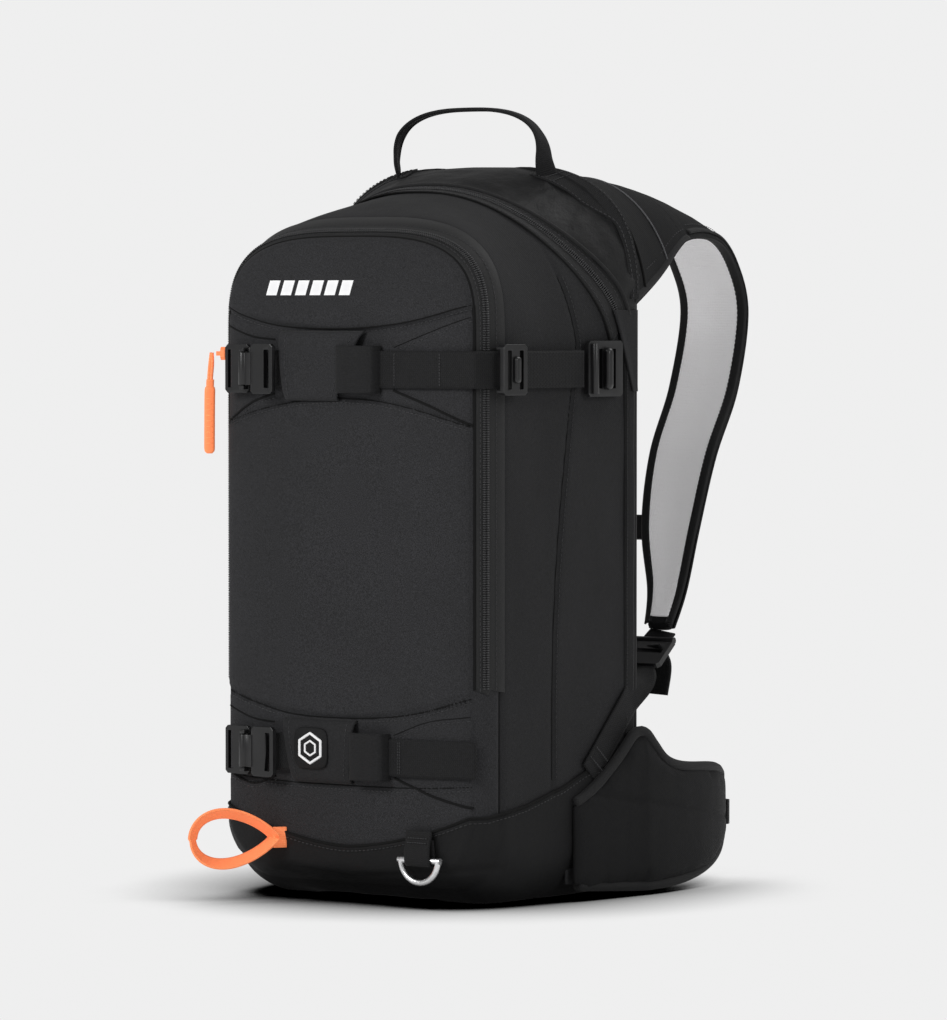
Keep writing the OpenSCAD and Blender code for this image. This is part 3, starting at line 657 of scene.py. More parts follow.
# Painted shade: a darker copy of the heather cloth, for the body, the zip-end tabs and the lower bridge,
# which take less light than the front pocket.
HEATHER_SHADED = fabric("side_cloth", (0.007, 0.007, 0.0075), (0.020, 0.020, 0.0215), fleck=1300,
                      crease=0.35, sheen=0.03)
BASE_CLOTH = fabric("base_cloth", (0.003, 0.003, 0.0033), (0.007, 0.007, 0.0075), pitch=1.0, roughness=0.66,
                    sheen=0.01, crease=0.5, crease_size=30, specular=0.24)
GLOSS_CLOTH = fabric("rear_cover_cloth", (0.002, 0.002, 0.0022), (0.005, 0.005, 0.0055), pitch=0.9,
                     roughness=0.46, sheen=0.0, crease=0.7, crease_size=30)
PAD_CLOTH = fabric("pad_cloth", (0.003, 0.003, 0.0033), (0.008, 0.008, 0.0086), pitch=1.2, roughness=0.8,
                   crease=0.35, sheen=0.02, specular=0.22)
BINDING = fabric("binding_tape", (0.006, 0.006, 0.006), (0.013, 0.013, 0.014), pitch=1.1, roughness=0.75,
                 twill=1.0)
LINING = fabric("lining_cloth", (0.07, 0.07, 0.075), (0.11, 0.11, 0.115), pitch=0.9, roughness=0.6)
BALLOON = fabric("balloon_cloth", (0.55, 0.10, 0.02), (0.85, 0.22, 0.06), pitch=0.8, roughness=0.5,
                 crease=1.0)
STRAP_GREY = mesh_cloth("strap_lining", (0.90, 0.89, 0.90), (0.74, 0.735, 0.745), 1.9)
BLACK_MESH = mesh_cloth("spacer_mesh", (0.022, 0.022, 0.023), (0.003, 0.003, 0.003), 2.6)
WEBBING = webbing_material("black_webbing", (0.003, 0.003, 0.0033), (0.011, 0.011, 0.0118))
ELASTIC = webbing_material("elastic", (0.004, 0.004, 0.0044), (0.013, 0.013, 0.014), rib=0.9)
# Painted shade: a near-black material for thin tubes and sheets laid in seams, folds and zip gaps, where the
# shade of the groove falls.
SEAM_SHADE = fabric("painted_seam_shade", (0.002, 0.002, 0.002), (0.004, 0.004, 0.004), roughness=0.95, sheen=0.0, weave=0.1)
ORANGE_WEB = webbing_material("orange_webbing", (0.86, 0.20, 0.07), (1.0, 0.36, 0.16), rib=1.2)
TAPE = fabric("zip_tape", (0.007, 0.007, 0.007), (0.014, 0.014, 0.015), pitch=0.8, roughness=0.6)
THREAD = fabric("thread", (0.020, 0.020, 0.021), (0.045, 0.045, 0.048), roughness=0.6, sheen=0.1, weave=0.1)
PLASTIC = plastic("black_plastic", (0.0045, 0.0045, 0.005), 0.36)
COIL = plastic("zip_coil", (0.013, 0.013, 0.014), 0.36)
ORANGE = plastic("orange_plastic", (1.0, 0.24, 0.08), 0.5)
FRAME_PLASTIC = plastic("frame_sheet_plastic", (0.09, 0.09, 0.10), 0.5)
ALLOY = metal("pale_alloy", (0.86, 0.86, 0.87))
STEEL = metal("bright_steel", (0.70, 0.70, 0.72), 0.22)
PAINT = plastic("cartridge_paint", (0.30, 0.31, 0.33), 0.3)
PRINT = plastic("reflective_print", (0.85, 0.85, 0.86), 0.4)
# Painted light: the grey strap lining glows a little, so that it looks brightly lit.
add_glow(STRAP_GREY, (0.9, 0.89, 0.9), 0.15)
# Painted light: the orange plastic, webbing and balloon cloth glow a little, brighter than their lit colour.
for painted_glow_material in (ORANGE, ORANGE_WEB, BALLOON):
    add_glow(painted_glow_material, (0.95, 0.24, 0.085), 0.34)


# ---------------------------------------------------------------- the bag's skin, as one family of rings

def outline_half(z):
    """Half width of the pocket's outline at height z."""
    half = half_section(FRONT_Y, out=-10)
    order = np.argsort(half[:, 1])
    return np.interp(z, half[order, 1], half[order, 0])


def ring_scale(x, z):
    """How far out a point on the front is: 0 at the middle of the pocket, 1 on its outline."""
    low, high = np.full(np.shape(x), 0.0), np.full(np.shape(x), 1.0)
    top, bottom = POCKET_TOP, half_section(FRONT_Y, out=-10)[0][1]
    for _ in range(24):
        k = (low + high) / 2
        zz = POCKET_MID_Z + (z - POCKET_MID_Z) / np.maximum(k, 1e-6)
        inside = (zz < top) & (zz > bottom) & (np.abs(x) / np.maximum(k, 1e-6) < outline_half(zz))
        high = np.where(inside, k, high)
        low = np.where(inside, low, k)
    return np.clip((low + high) / 2, 0, 1)


def face_y(k):
    """Depth of the pocket's face on the ring at scale k."""
    return POCKET_EDGE_Y - POCKET_BULGE * np.sqrt(1 - k ** 3.4)


def pocket_depth(x, z):
    return face_y(ring_scale(np.asarray(x, float), np.asarray(z, float)))


WALL = 1.0
FACE = 2.0


def ring_half(q, out=0.0):
    """Half ring of the skin. q is 0 to 1 down the body, 1 to 2 on the pocket's wall, 2 to 3 on its face."""
    if q <= WALL:
        y = RIM_Y - q * DEPTH
        tuck = 3.0 * max(0.0, (FRONT_Y + 8 - y) / 8) ** 2
        half = half_section(y, out - tuck)
        return np.stack([half[:, 0], np.full(len(half), y), half[:, 1]], 1)
    if q <= FACE:
        t = q - WALL
        half = half_section(FRONT_Y, out - 2 - 8 * t)
        bulge = 1.6 * math.sin(math.pi * t)
        y = np.full(len(half), FRONT_Y - 16 * t - bulge)
        return np.stack([half[:, 0] + bulge * 0.6, y, half[:, 1]], 1)
    k = 3.0 - q
    half = half_section(FRONT_Y, -10)
    x, z = half[:, 0] * k, POCKET_MID_Z + (half[:, 1] - POCKET_MID_Z) * k
    return np.stack([x, np.full(len(half), face_y(k) - out), z], 1)


def mirror_join(half):
    """Whole ring from a half ring: up the right side, over the crown and down the left."""
    left = half[-2:0:-1] * np.array([-1, 1, 1])
    return np.vstack([half, left])


def open_ring(half, count):
    """Left end to right end of a half strip that starts in the middle, resampled."""
    left = half[:0:-1] * np.array([-1, 1, 1])
    return resample(np.vstack([left, half]), count)


def zip_plane(z):
    """Depth of the main zip's sloping plane at height z."""
    return ZIP_END_Y - ZIP_SLOPE * (z - ZIP_END_Z)


def upper_skin(q_low, q_high, rows, shift):
    """Half grid of the body's skin from the zip's plane, moved by shift, down to depth q_high."""
    depths = np.linspace(0, 1, 90)
    dense = np.stack([ring_half(q) for q in depths])
    columns = []
    for j in range(dense.shape[1]):
        line = dense[:, j]
        cut = line[:, 1] - zip_plane(line[:, 2]) - shift
        at = np.interp(0, cut[::-1], depths[::-1], left=1.0, right=0.0)
        want = np.linspace(max(at, q_low), q_high, rows)
        columns.append(np.stack([np.interp(want, depths, line[:, k]) for k in range(3)], 1))
    return np.stack(columns, 1)


def full_grid(half_grid):
    return np.stack([mirror_join(row) for row in half_grid])


def ring_normals(grid):
    """Outward normals of a grid whose columns close round the bag."""
    du = np.gradient(grid, axis=0)
    dv = np.roll(grid, -1, 1) - np.roll(grid, 1, 1)
    return unit(np.cross(dv, du))


SKINS = []


def closed_skin(name, half_grid, material, thick, shape, tip=False):
    """A tube of skin round the bag with an inner face; tip closes its last ring with a middle point."""
    grid = shape(full_grid(half_grid))
    n = ring_normals(grid)
    rows, cols = grid.shape[:2]
    inner = grid - n * thick
    verts = np.concatenate([grid.reshape(-1, 3), inner.reshape(-1, 3)])
    q = rows * cols
    top = grid_faces(rows, cols, wrap=True)
    low = [f[::-1] for f in grid_faces(rows, cols, wrap=True, start=q)]
    rim = band(q, 0, cols)
    if tip:
        verts = np.vstack([verts, grid[-1].mean(0), inner[-1].mean(0)])
        top += fan(q - cols, cols, 2 * q)
        low += fan(2 * q - cols, cols, 2 * q + 1, back=True)
    else:
        rim += band(q - cols, 2 * q - cols, cols)
    SKINS.append((verts, top))
    return new_piece(name, verts, top + low + rim, material)


def side_seam_y(z):
    """Depth of the side seam at height z."""
    return -12 + 0.00045 * np.clip(z - 130, 0, None) ** 2 - 0.35 * np.clip(z - 380, 0, None)


def body_shape(grid):
    """Loose cloth on the sides: a pull line under the strap, a vertical seam, slight waves."""
    n = ring_normals(grid)
    x, y, z = grid[..., 0], grid[..., 1], grid[..., 2]
    side = np.clip((np.abs(x) - 90) / 15, 0, 1) * np.clip((z - 40) / 40, 0, 1)
    behind = y - side_seam_y(z)
    push = side * (0.4 * np.tanh(behind / 2.5) - seam_groove(behind, 1.8, 1.1))
    cinch = np.exp(-((z - UPPER_Z) / 42) ** 2) * np.clip((y + 66) / 60, 0, 1) * side
    push = push - 1.4 * cinch + side * 0.9 * grid_ripple(grid, 34, 2, (1, 1, 0.45))
    top = np.clip((z - 430) / 40, 0, 1)
    push = push + top * 0.8 * grid_ripple(grid, 30, 5)
    return grid + n * push[..., None]


# The body's cloth is the heather cloth darkened as painted shade.
shell = closed_skin("body_cloth", upper_skin(0.0, 0.985, 60, shift=-6), HEATHER_SHADED, 1.4, body_shape)
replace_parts(shell, "main_shell")


# ---------------------------------------------------------------- front pocket

def face_seams(grid):
    """Seams of the front: the top flap's lap, the arch under the strap, the lower edge, the base seam."""
    x, z = grid[..., 0], grid[..., 2]
    on_face = np.clip((POCKET_EDGE_Y + 3 - grid[..., 1]) / 4, 0, 1)
    top, arch, low, base = seam_lines(x)
    y = -1.9 / (1 + np.exp(-(z - top) / 0.7)) + seam_groove(z - top + 1.8, 2.4, 1.6)
    y = y + seam_groove(z - arch, 1.9, 1.5) + seam_groove(z - low, 1.9, 1.6) + seam_groove(z - base, 1.9, 1.6)
    band = (z < arch) & (z > low)
    y = y - np.where(band, 1.1, 0)
    pucker = sum(np.exp(-((z - line) / 7) ** 2) for line in (top, arch, low, base))
    y = y + 0.35 * pucker * grid_ripple(grid, 7, 3, (1, 1, 0.3))
    y = y + 0.9 * grid_ripple(grid, 55, 4, (1, 1, 0.6))
    moved = grid.copy()
    moved[..., 1] += y * on_face
    return moved


face_steps = np.concatenate([np.linspace(0.99, FACE, 14), FACE + np.linspace(0, 1, 150)[1:-1] ** 0.92])
pocket_grid = np.stack([ring_half(q) for q in face_steps])
pocket = closed_skin("pocket_cloth", pocket_grid, HEATHER, 1.4, face_seams, tip=True)
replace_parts(pocket, "front_pocket")


# ---------------------------------------------------------------- finding the cloth's surface

BAG_MIDDLE = np.array([0, 5, 240])


def skin_tree():
    verts, faces = [], []
    for points, polygons in SKINS:
        start = len(verts)
        verts += [tuple(p) for p in points]
        faces += [tuple(start + i for i in face) for face in polygons]
    return BVHTree.FromPolygons(verts, faces)


TREE = skin_tree()


def snap(points, lift=0.0):
    """Nearest points on the bag's cloth, lifted off it, and the outward normals there."""
    shape = np.shape(points)
    flat = np.asarray(points, float).reshape(-1, 3)
    spots, normals = np.empty_like(flat), np.empty_like(flat)
    for i, p in enumerate(flat):
        spot, normal, _, _ = TREE.find_nearest(tuple(p))
        n = np.array(normal)
        spots[i] = spot
        normals[i] = n if n @ (np.array(spot) - BAG_MIDDLE) > 0 else -n
    return (spots + normals * lift).reshape(shape), normals.reshape(shape)


def on_face(xz, lift=0.0):
    """Points on the front of the bag at given x, z."""
    points = []
    for x, z in np.asarray(xz, float).reshape(-1, 2):
        spot, _, _, _ = TREE.ray_cast((x, -300, z), (0, 1, 0))
        points.append((x, spot[1] - lift, z))
    return np.array(points).reshape(*np.shape(xz)[:-1], 3)


def on_side(yz, side, lift):
    """Points on the right (side 1) or left (side -1) of the bag at given y, z."""
    points = []
    for y, z in np.asarray(yz, float).reshape(-1, 2):
        spot, _, _, _ = TREE.ray_cast((side * 400, y, z), (-side, 0, 0))
        points.append((spot[0] + side * lift, y, z))
    return np.array(points).reshape(*np.shape(yz)[:-1], 3)


def line2(a, b, count):
    t = np.linspace(0, 1, count)[:, None]
    return np.asarray(a, float) * (1 - t) + np.asarray(b, float) * t


STITCH_GAP = 2.6


def seam(name, xz, stitched, radius):
    """Painted shade of a seam on the front: a thin near-black tube laid in the seam line, with a row of
    stitches below it if it is stitched.
    """
    points = on_face(spline(xz, 90), 0.1)
    tube(name, points, radius, SEAM_SHADE)
    if stitched:
        down = unit(np.cross(tangents(points), (0, -1, 0)))
        down *= -np.sign(down[:, 2:3])
        row = on_face((points + down * STITCH_GAP)[:, [0, 2]])
        stitches(f"{name}_stitches_0", row, (0, -1, 0), THREAD)


# ---------------------------------------------------------------- base tray

def base_edge(x, y):
    """Height of the base tray's seam round the bag."""
    if y < POCKET_EDGE_Y + 6:
        return 38 + 24 * min(1, abs(x) / 104) ** 1.6
    return np.interp(y, [-76, -40, -3, 22, 72], [62, 68, 78, 88, 94])


def base_tray():
    side_y = np.linspace(RIM_Y, -58, 46)
    right = [(half_width(y), y) for y in side_y]
    corner = [(FRONT_HW - 6 + 6 * math.cos(a), -62 - 26 * math.sin(a)) for a in np.linspace(0.1, 1.35, 16)]
    front = [(x, -93) for x in np.linspace(98, 0, 40)]
    half = right + corner + front
    plan = np.array([(-x, y) for x, y in half] + half[-2::-1])
    plan = resample(plan, 230)
    grid = []
    for x, y in plan:
        top = base_edge(x, y)
        inner = np.array([x * 0.45, np.clip(y * 0.6, -52, 60), 0])
        low = np.array([x, y, 0])
        rows = np.vstack([line2(inner, low, 16)[:-1], line2(low, (x, y, top), 22)])
        spots, _ = snap(rows)
        grid.append(resample(spots, 34))
    grid = np.array(grid)
    for _ in range(3):
        grid[1:-1, 1:-1] = (grid[1:-1, 1:-1] * 2 + grid[:-2, 1:-1] + grid[2:, 1:-1]) / 4
    grid, n = snap(grid, 1.5)
    grow = grid_ripple(grid, 30, 8, (1, 1, 1.6))
    fold = seam_groove(grid[..., 2] - 17 - 0.10 * np.abs(grid[..., 0]), 1.8, 1.3) * (grid[..., 1] < -60)
    grid = grid + n * (0.7 * grow - fold)[..., None]
    grid[..., 2] = np.maximum(grid[..., 2], 0.3)
    return grid


tray_grid = base_tray()
tray = sheet("base_cloth", tray_grid, BASE_CLOTH, 1.1, flip=True)
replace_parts(tray, "base_panel")
tray_edge = tray_grid[:, -1]
edge_spots, edge_normals = snap(tray_edge)
# Painted shade: a near-black tube along the base tray's top seam.
tube("base_seam_shade", edge_spots + edge_normals * 1.1, 1.0, SEAM_SHADE)
stitches("base_stitches", edge_spots + edge_normals * 1.75 - [0, 0, 3.2], edge_normals, THREAD)


# ---------------------------------------------------------------- zips

def arch_point(a, y, out=0.0):
    """Point over the top of the bag at angle a and depth y."""
    hw, top = half_width(y) + out, crown(y) + out
    e, sz = arch_form(y)
    across = math.copysign(hw * abs(math.cos(a)) ** e, math.cos(a))
    return np.array([across, y, sz + (top - sz) * math.sin(a) ** e])


def zip_y(a):
    """Depth at which the arch at angle a meets the zip's plane."""
    y = 20.0
    for _ in range(8):
        y = zip_plane(arch_point(a, y)[2])
    return y


def arch_grid(angles, shifts, out):
    """Points over the top of the bag: rows run across it, columns step back from the main zip."""
    return np.array([[arch_point(a, min(zip_y(a) + s, RIM_Y + 1), out) for s in shifts] for a in angles])


TOOTH_RADIUS = 0.62


def coil(name, path, normals, pitch, half):
    """Two facing rows of zip teeth along a path, each at half from the middle."""
    length = np.linalg.norm(np.diff(path, axis=0), axis=1).sum()
    count = int(length / pitch)
    both = resample(np.hstack([path, normals]), count)
    points, n = both[:, :3], unit(both[:, 3:])
    across = unit(np.cross(tangents(points), n))
    centres = np.concatenate([points + across * half, points - across * half])
    capsules(name, centres, np.concatenate([across, across]), np.concatenate([n, n]), 2.3, TOOTH_RADIUS, COIL)


def path_normals(grid, column):
    """Path and outward normals along one column of a grid."""
    n = grid_normals(grid)[:, column]
    n = n * np.sign(np.sum(n * (grid[:, column] - BAG_MIDDLE), axis=1, keepdims=True))
    return grid[:, column], n


main_angles = np.radians(np.linspace(178.5, 1.5, 170))
front_tape = arch_grid(main_angles, [-9.5, -7, -5, -3, -1.0], 0.9)
rear_tape = arch_grid(main_angles, [1.0, 3, 5, 7.5], 1.1)
tape = sheet("main_zip_tape_front", front_tape, TAPE, 0.9, flip=True)
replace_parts(tape, "main_zip")
sheet("main_zip_tape_rear", rear_tape, TAPE, 0.9, flip=True)
# Painted shade: a near-black sheet under the zip tapes, seen in the gap between them.
sheet("main_zip_gap_shade", arch_grid(main_angles, [-8, -4, 0, 4, 8], -1.0), SEAM_SHADE, 0.8, flip=True)
main_band = arch_grid(main_angles, [-4, -2, 0, 2, 4], 1.3)
coil("main_zip_coil", *path_normals(main_band, 2), 1.5, 1.25)
for label, column, grid in (("front", 1, front_tape), ("rear", 2, rear_tape)):
    stitches(f"main_zip_stitches_{label}", *path_normals(grid, column), THREAD)
tube("main_zip_piping", arch_grid(main_angles, [8.2], 1.8)[:, 0], 1.25, BINDING)
# Painted shade: a near-black tube along the front edge of the zip tape.
tube("main_zip_edge", arch_grid(main_angles, [-9.8], 1.0)[:, 0], 0.7, SEAM_SHADE)


def wall_strip(q, low, out):
    """Path round the pocket's wall at depth q, from the left foot over the top to the right foot."""
    half = ring_half(q, out)
    half = half[half[:, 2] >= low][::-1]
    return open_ring(half, 240)


ZIP_LOW = box_mm("pocket_zip")[0][2]
wall_grid = np.stack([wall_strip(q, ZIP_LOW, 0.8) for q in np.linspace(0.965, 1.98, 10)], 1)
pocket_tape = sheet("pocket_zip_tape", wall_grid, TAPE, 0.7)
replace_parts(pocket_tape, "pocket_zip")
pocket_band = np.stack([wall_strip(q, ZIP_LOW + 2, 1.3) for q in np.linspace(1.4, 1.66, 5)], 1)
coil("pocket_zip_coil", *path_normals(pocket_band, 2), 1.6, 1.3)
for label, column in (("body", 1), ("face", 7)):
    stitches(f"pocket_zip_stitches_{label}", *path_normals(wall_grid, column), THREAD)
# Painted shade: near-black tubes along both edges of the pocket zip's tape.
tube("pocket_zip_edge_body", wall_strip(1.0, ZIP_LOW, 0.9), 0.7, SEAM_SHADE)
tube("pocket_zip_edge_face", wall_strip(2.0, ZIP_LOW, 0.5), 0.9, SEAM_SHADE)


# ---------------------------------------------------------------- rear cover over the airbag bay

def rear_cover():
    angles = np.radians(np.linspace(179.7, 0.3, 190))
    rows = []
    for a in angles:
        start = zip_y(a) + 7.0
        rows.append([arch_point(a, y, 1.2) for y in np.linspace(min(start, RIM_Y - 3), RIM_Y + 1, 40)])
    grid = np.array(rows)
    n = -grid_normals(grid)
    flat = grid.reshape(-1, 3)
    low = np.clip((480 - flat[:, 2]) / 50, 0, 1)
    long_folds = ripple(flat * [1, 0.35, 1], 17, 11) * (0.6 + 1.3 * low)
    cross_folds = ripple(flat * [0.45, 1, 0.45], 12, 12) * 0.7
    edge = np.sin(np.linspace(0, math.pi, 40))[None, :] ** 0.5
    push = (long_folds + cross_folds).reshape(grid.shape[:2]) * 1.7 * edge + 1.6 * edge
    return grid + n * push[..., None]


cover_grid = rear_cover()
cover = sheet("airbag_cover_cloth", cover_grid, GLOSS_CLOTH, 0.9, flip=True)
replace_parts(cover, "airbag_cover")


# ---------------------------------------------------------------- seams of the front

FRONT_SEAMS = (
    ("top_flap_seam", 0.5,
     [(-100, 404), (-80, 397), (-50, 391), (0, 389.4), (40, 392), (70, 397), (101, 405)]),
    ("arch_seam", 0.35, [(-101, 325), (-70, 334), (-35, 340), (0, 342), (35, 340), (70, 333), (101, 324)]),
    ("lower_edge_seam", 0.5,
     [(-101, 141), (-70, 133), (-40, 127), (0, 126), (40, 128), (70, 133), (101, 142)]),
    ("base_top_seam", 0.4, [(-101, 83), (-50, 80.5), (0, 80), (50, 80.5), (101, 83)]),
)
FOLDS = (("upper", UPPER_Z, 37, 35, 36), ("lower", LOWER_Z, 32, 29, 17))
# Each front seam and fold gets a near-black tube of painted shade in its line; the stitches are thread.
for name, radius, keys in FRONT_SEAMS:
    seam(name, keys, True, radius)
for tag, z, fold_right, tuck_right, fold_left in FOLDS:
    seam(f"{tag}_fold_right", [(44, z - 14), (72, z - 24), (102, z - fold_right)], False, 0.9)
    seam(f"{tag}_tuck_right", [(44, z + 15), (72, z + 25), (101, z + tuck_right)], True, 0.3)
    seam(f"{tag}_fold_left", [(-56, z - 17), (-76, z - 23), (-100, z - fold_left)], True, 0.8)
    seam(f"{tag}_tuck_left", [(-56, z + 20), (-76, z + 22), (-100, z + 29)], False, 0.6)


# ---------------------------------------------------------------- tabs that close the ends of the main zip

def side_x(y, z, out):
    """Half width of the bag at a given height, at depth y."""
    e, sz = arch_form(y)
    rise = max(0.0, (z - sz) / (crown(y) - sz)) ** (1 / e)
    return (half_width(y) + out) * math.cos(math.asin(min(1, rise))) ** e


for side, tag in SIDES:
    tab_grid = []
    for z in np.linspace(346, 402, 30):
        start = 68 - 0.34 * (z - 346)
        tab_grid.append([(side * side_x(y, z, 2.3 - 0.9 * min(1, (y - start) / 6)), y, z)
                         for y in np.linspace(start, RIM_Y + 1.5, 12)])
    # The tabs use the heather cloth darkened as painted shade.
    sheet(f"zip_end_tab_{tag}", np.array(tab_grid), HEATHER_SHADED, 1.2, flip=side > 0)
    row = np.array(tab_grid)[:, 1] + [side * 0.1, 0, 0]
    stitches(f"zip_end_stitches_{tag}", row, (side, 0, 0), THREAD)


# ---------------------------------------------------------------- side seams and back edge binding

EDGE_Y = 67.0
for side, tag in SIDES:
    heights = np.linspace(84, 425, 90)
    line = on_side([(side_seam_y(z), z) for z in heights], side, 0.0)
    # Painted shade: a near-black tube in the side seam's groove.
    tube(f"side_seam_{tag}", line, 0.42, SEAM_SHADE)
    row = on_side([(side_seam_y(z) + 3, z) for z in heights], side, 0.1)
    stitches(f"side_seam_stitches_{tag}", row, (side, 0, 0), THREAD)
    edge = np.array([(side * (half_width(EDGE_Y) + 1.5), EDGE_Y, z) for z in np.linspace(90, 402, 90)])
    edge[:, 0] += side * 0.5 * ripple(edge, 40, 14)
    ribbon(f"back_edge_binding_{tag}", edge, (side, -0.12, 0), 11, WEBBING, 1.6, cols=7, sag=0.9)
    for k, shift in enumerate((-4.0, 3.6)):
        stitches(f"back_edge_stitches_{tag}_{k}", edge + [side * 0.1, shift, 0], (side, 0, 0), THREAD,
                 pitch=2.6, length=2.0)


# ---------------------------------------------------------------- carry straps

def face_path(x1, x2, z, gap, step):
    """Smooth path over the front at height z; gap is how far its outer face stands off."""
    xs = np.linspace(x1, x2, max(3, int(abs(x2 - x1) / step)))
    ys = pocket_depth(xs, np.full(len(xs), z)) - gap
    return np.stack([xs, ys, np.full(len(xs), z)], 1)


def corner_points(z, gap):
    """Points round the corner between the pocket's face and the bag's side, at a gap from the cloth."""
    points = [(POCKET_HW + 0.6 + gap * math.cos(a), POCKET_EDGE_Y - 0.8 - gap * math.sin(a))
              for a in (1.05, 0.47)]
    points.append((FRONT_HW - 1 + 0.9 * gap, FRONT_Y - 0.45 * gap))
    return np.array([(x, y, z) for x, y in points])


def sides_of(path):
    """Outward direction in plan for each point of a path that runs to the right and back."""
    t = tangents(path)
    return unit(np.stack([t[:, 1], -t[:, 0], np.zeros(len(t))], 1))


STRAP_END_Y = box_mm("upper_strap")[1][1]
side_run = np.array([(half_width(y) + 5.0, y, UPPER_Z) for y in np.linspace(-56, STRAP_END_Y, 14)])
upper_keys = [face_path(-42, 95, UPPER_Z, 2.4, 10), corner_points(UPPER_Z, 4.8), side_run]
upper_path = spline(np.vstack(upper_keys), 150)
strap = ribbon("upper_strap_webbing", upper_path, sides_of(upper_path), WEB_WIDE, WEBBING, 1.6, cols=13)
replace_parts(strap, "upper_strap")
lower_keys = [face_path(-42, 95, LOWER_Z, 2.4, 10), corner_points(LOWER_Z, 4.4)[:2]]
lower_path = spline(np.vstack(lower_keys), 110)
strap = ribbon("lower_strap_webbing", lower_path, sides_of(lower_path), WEB_WIDE, WEBBING, 1.6, cols=13)
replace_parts(strap, "lower_strap")


def bar_tack(name, path, x, rows):
    """Rows of stitches across a strap where its length crosses x."""
    at = int(np.argmin(np.abs(path[:, 0] - x)))
    out = sides_of(path)[at]
    for k in range(rows):
        middle = path[at + k]
        line = middle + np.array([0, 0, 1.0]) * np.linspace(-11, 11, 12)[:, None] + out * 0.1
        stitches(f"{name}_{k}", line, out, THREAD, pitch=1.9, length=1.7, radius=0.35)


bar_tack("upper_strap_tack_a", upper_path, 47, 1)
bar_tack("upper_strap_tack_b", upper_path, 82, 1)
bar_tack("lower_strap_tack", lower_path, 49, 2)


def keeper(name, node, z):
    """Wide elastic loop round the strap."""
    low, high = box_mm(node)
    x1, x2 = low[0], high[0]
    shape = [(0, 0.2), (0.3, 4.5), (2.2, 8.8), (7, 10.4), (0.5 * (x2 - x1), 10.6), (x2 - x1 - 7, 10.4),
             (x2 - x1 - 2.2, 8.8), (x2 - x1 - 0.3, 4.5), (x2 - x1, 0.2)]
    keys = [(x1 + s, pocket_depth(x1 + s, z) - d, z) for s, d in shape]
    path = spline(keys, 70)
    loop = ribbon(name, path, sides_of(path), high[2] - low[2], ELASTIC, 1.5, cols=25)
    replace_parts(loop, node)


keeper("upper_keeper_loop", "upper_keeper", UPPER_Z)
keeper("lower_keeper_loop", "lower_keeper", LOWER_Z)


BRIDGE_RISE = 5.4


def bridge(name, z1, z2, left, right, material):
    """Fabric bridge sewn along its top and bottom; the strap runs under it."""
    rows = []
    for z in np.linspace(z1, z2, 44):
        t = (z - (z1 + z2) / 2) / ((z2 - z1) / 2)
        xs = np.linspace(left(z), right(z), 56)
        rise = 0.7 + BRIDGE_RISE * max(0, 1 - abs(t) ** 5) ** 0.6
        edge = np.minimum(1, np.minimum(xs - xs[0], xs[-1] - xs) / 2.5)
        ys = pocket_depth(xs, np.full(56, z)) - rise - 0.6 * np.sqrt(edge)
        rows.append(np.stack([xs, ys, np.full(56, z)], 1))
    grid = np.array(rows)
    grid[..., 1] += 0.5 * grid_ripple(grid, 22, 17)
    piece = sheet(name, grid, material, 1.5)
    for tag, column in (("left", 5), ("right", -6)):
        stitches(f"{name}_stitches_{tag}", grid[2:-2, column], (0, -1, 0), THREAD)
    return piece


upper_bridge = bridge("upper_bridge_cloth", UPPER_Z - 21.5, UPPER_Z + 26,
                      lambda z: -44 - 6 * (z - 340) / 48, lambda z: -1 + 21 * (z - 340) / 48, HEATHER)
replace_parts(upper_bridge, "strap_bridges")
# The lower bridge uses the heather cloth darkened as painted shade; the upper one uses the plain heather
# cloth.
bridge("lower_bridge_cloth", LOWER_Z - 20, LOWER_Z + 24,
       lambda z: -38 - 8 * (z - 80) / 44, lambda z: 10 + 0.1 * (z - 80), HEATHER_SHADED)


# ---------------------------------------------------------------- label strip and badge

def slanted_bars(name, x1, x2, z, height, count):
    """Plain reflective dashes printed on the top flap."""
    verts, faces = [], []
    pitch = (x2 - x1) / count
    for start in x1 + pitch * np.arange(count):
        grid = []
        for h in (np.arange(4) / 3 - 0.5) * height:
            xs = np.linspace(start, start + pitch * 0.72, 6) + h * 0.28
            grid.append([(x, z + h) for x in xs])
        outer = on_face(grid, 0.35)
        points, polygons = slab(outer, outer + [0, 0.3, 0])
        faces += [tuple(len(verts) + v for v in face[::-1]) for face in polygons]
        verts += [tuple(p) for p in points]
    return new_piece(name, verts, faces, PRINT, smooth=False)


label = slanted_bars("front_label_dashes", *(box_mm("front_label")[i][0] for i in (0, 1)), 417, 10, 6)
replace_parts(label, "front_label")


def rounded_slab(name, outline, y_of, thick, material):
    """Flat shape on the front: an outline of x, z points with a bevelled rim."""
    outline = np.asarray(outline, float)
    middle = outline.mean(0)
    rings = []
    for scale, lift in ((1.0, 0.0), (1.0, thick * 0.6), (0.95, thick)):
        ring = middle + (outline - middle) * scale
        rings.append(np.stack([ring[:, 0], y_of(ring[:, 0]) - lift, ring[:, 1]], 1))
    count = len(outline)
    verts = np.concatenate(rings + [[rings[2].mean(0)], [rings[0].mean(0)]])
    faces = grid_faces(3, count, wrap=True)
    faces += fan(2 * count, count, 3 * count) + fan(0, count, 3 * count + 1, back=True)
    return new_piece(name, verts, faces, material)


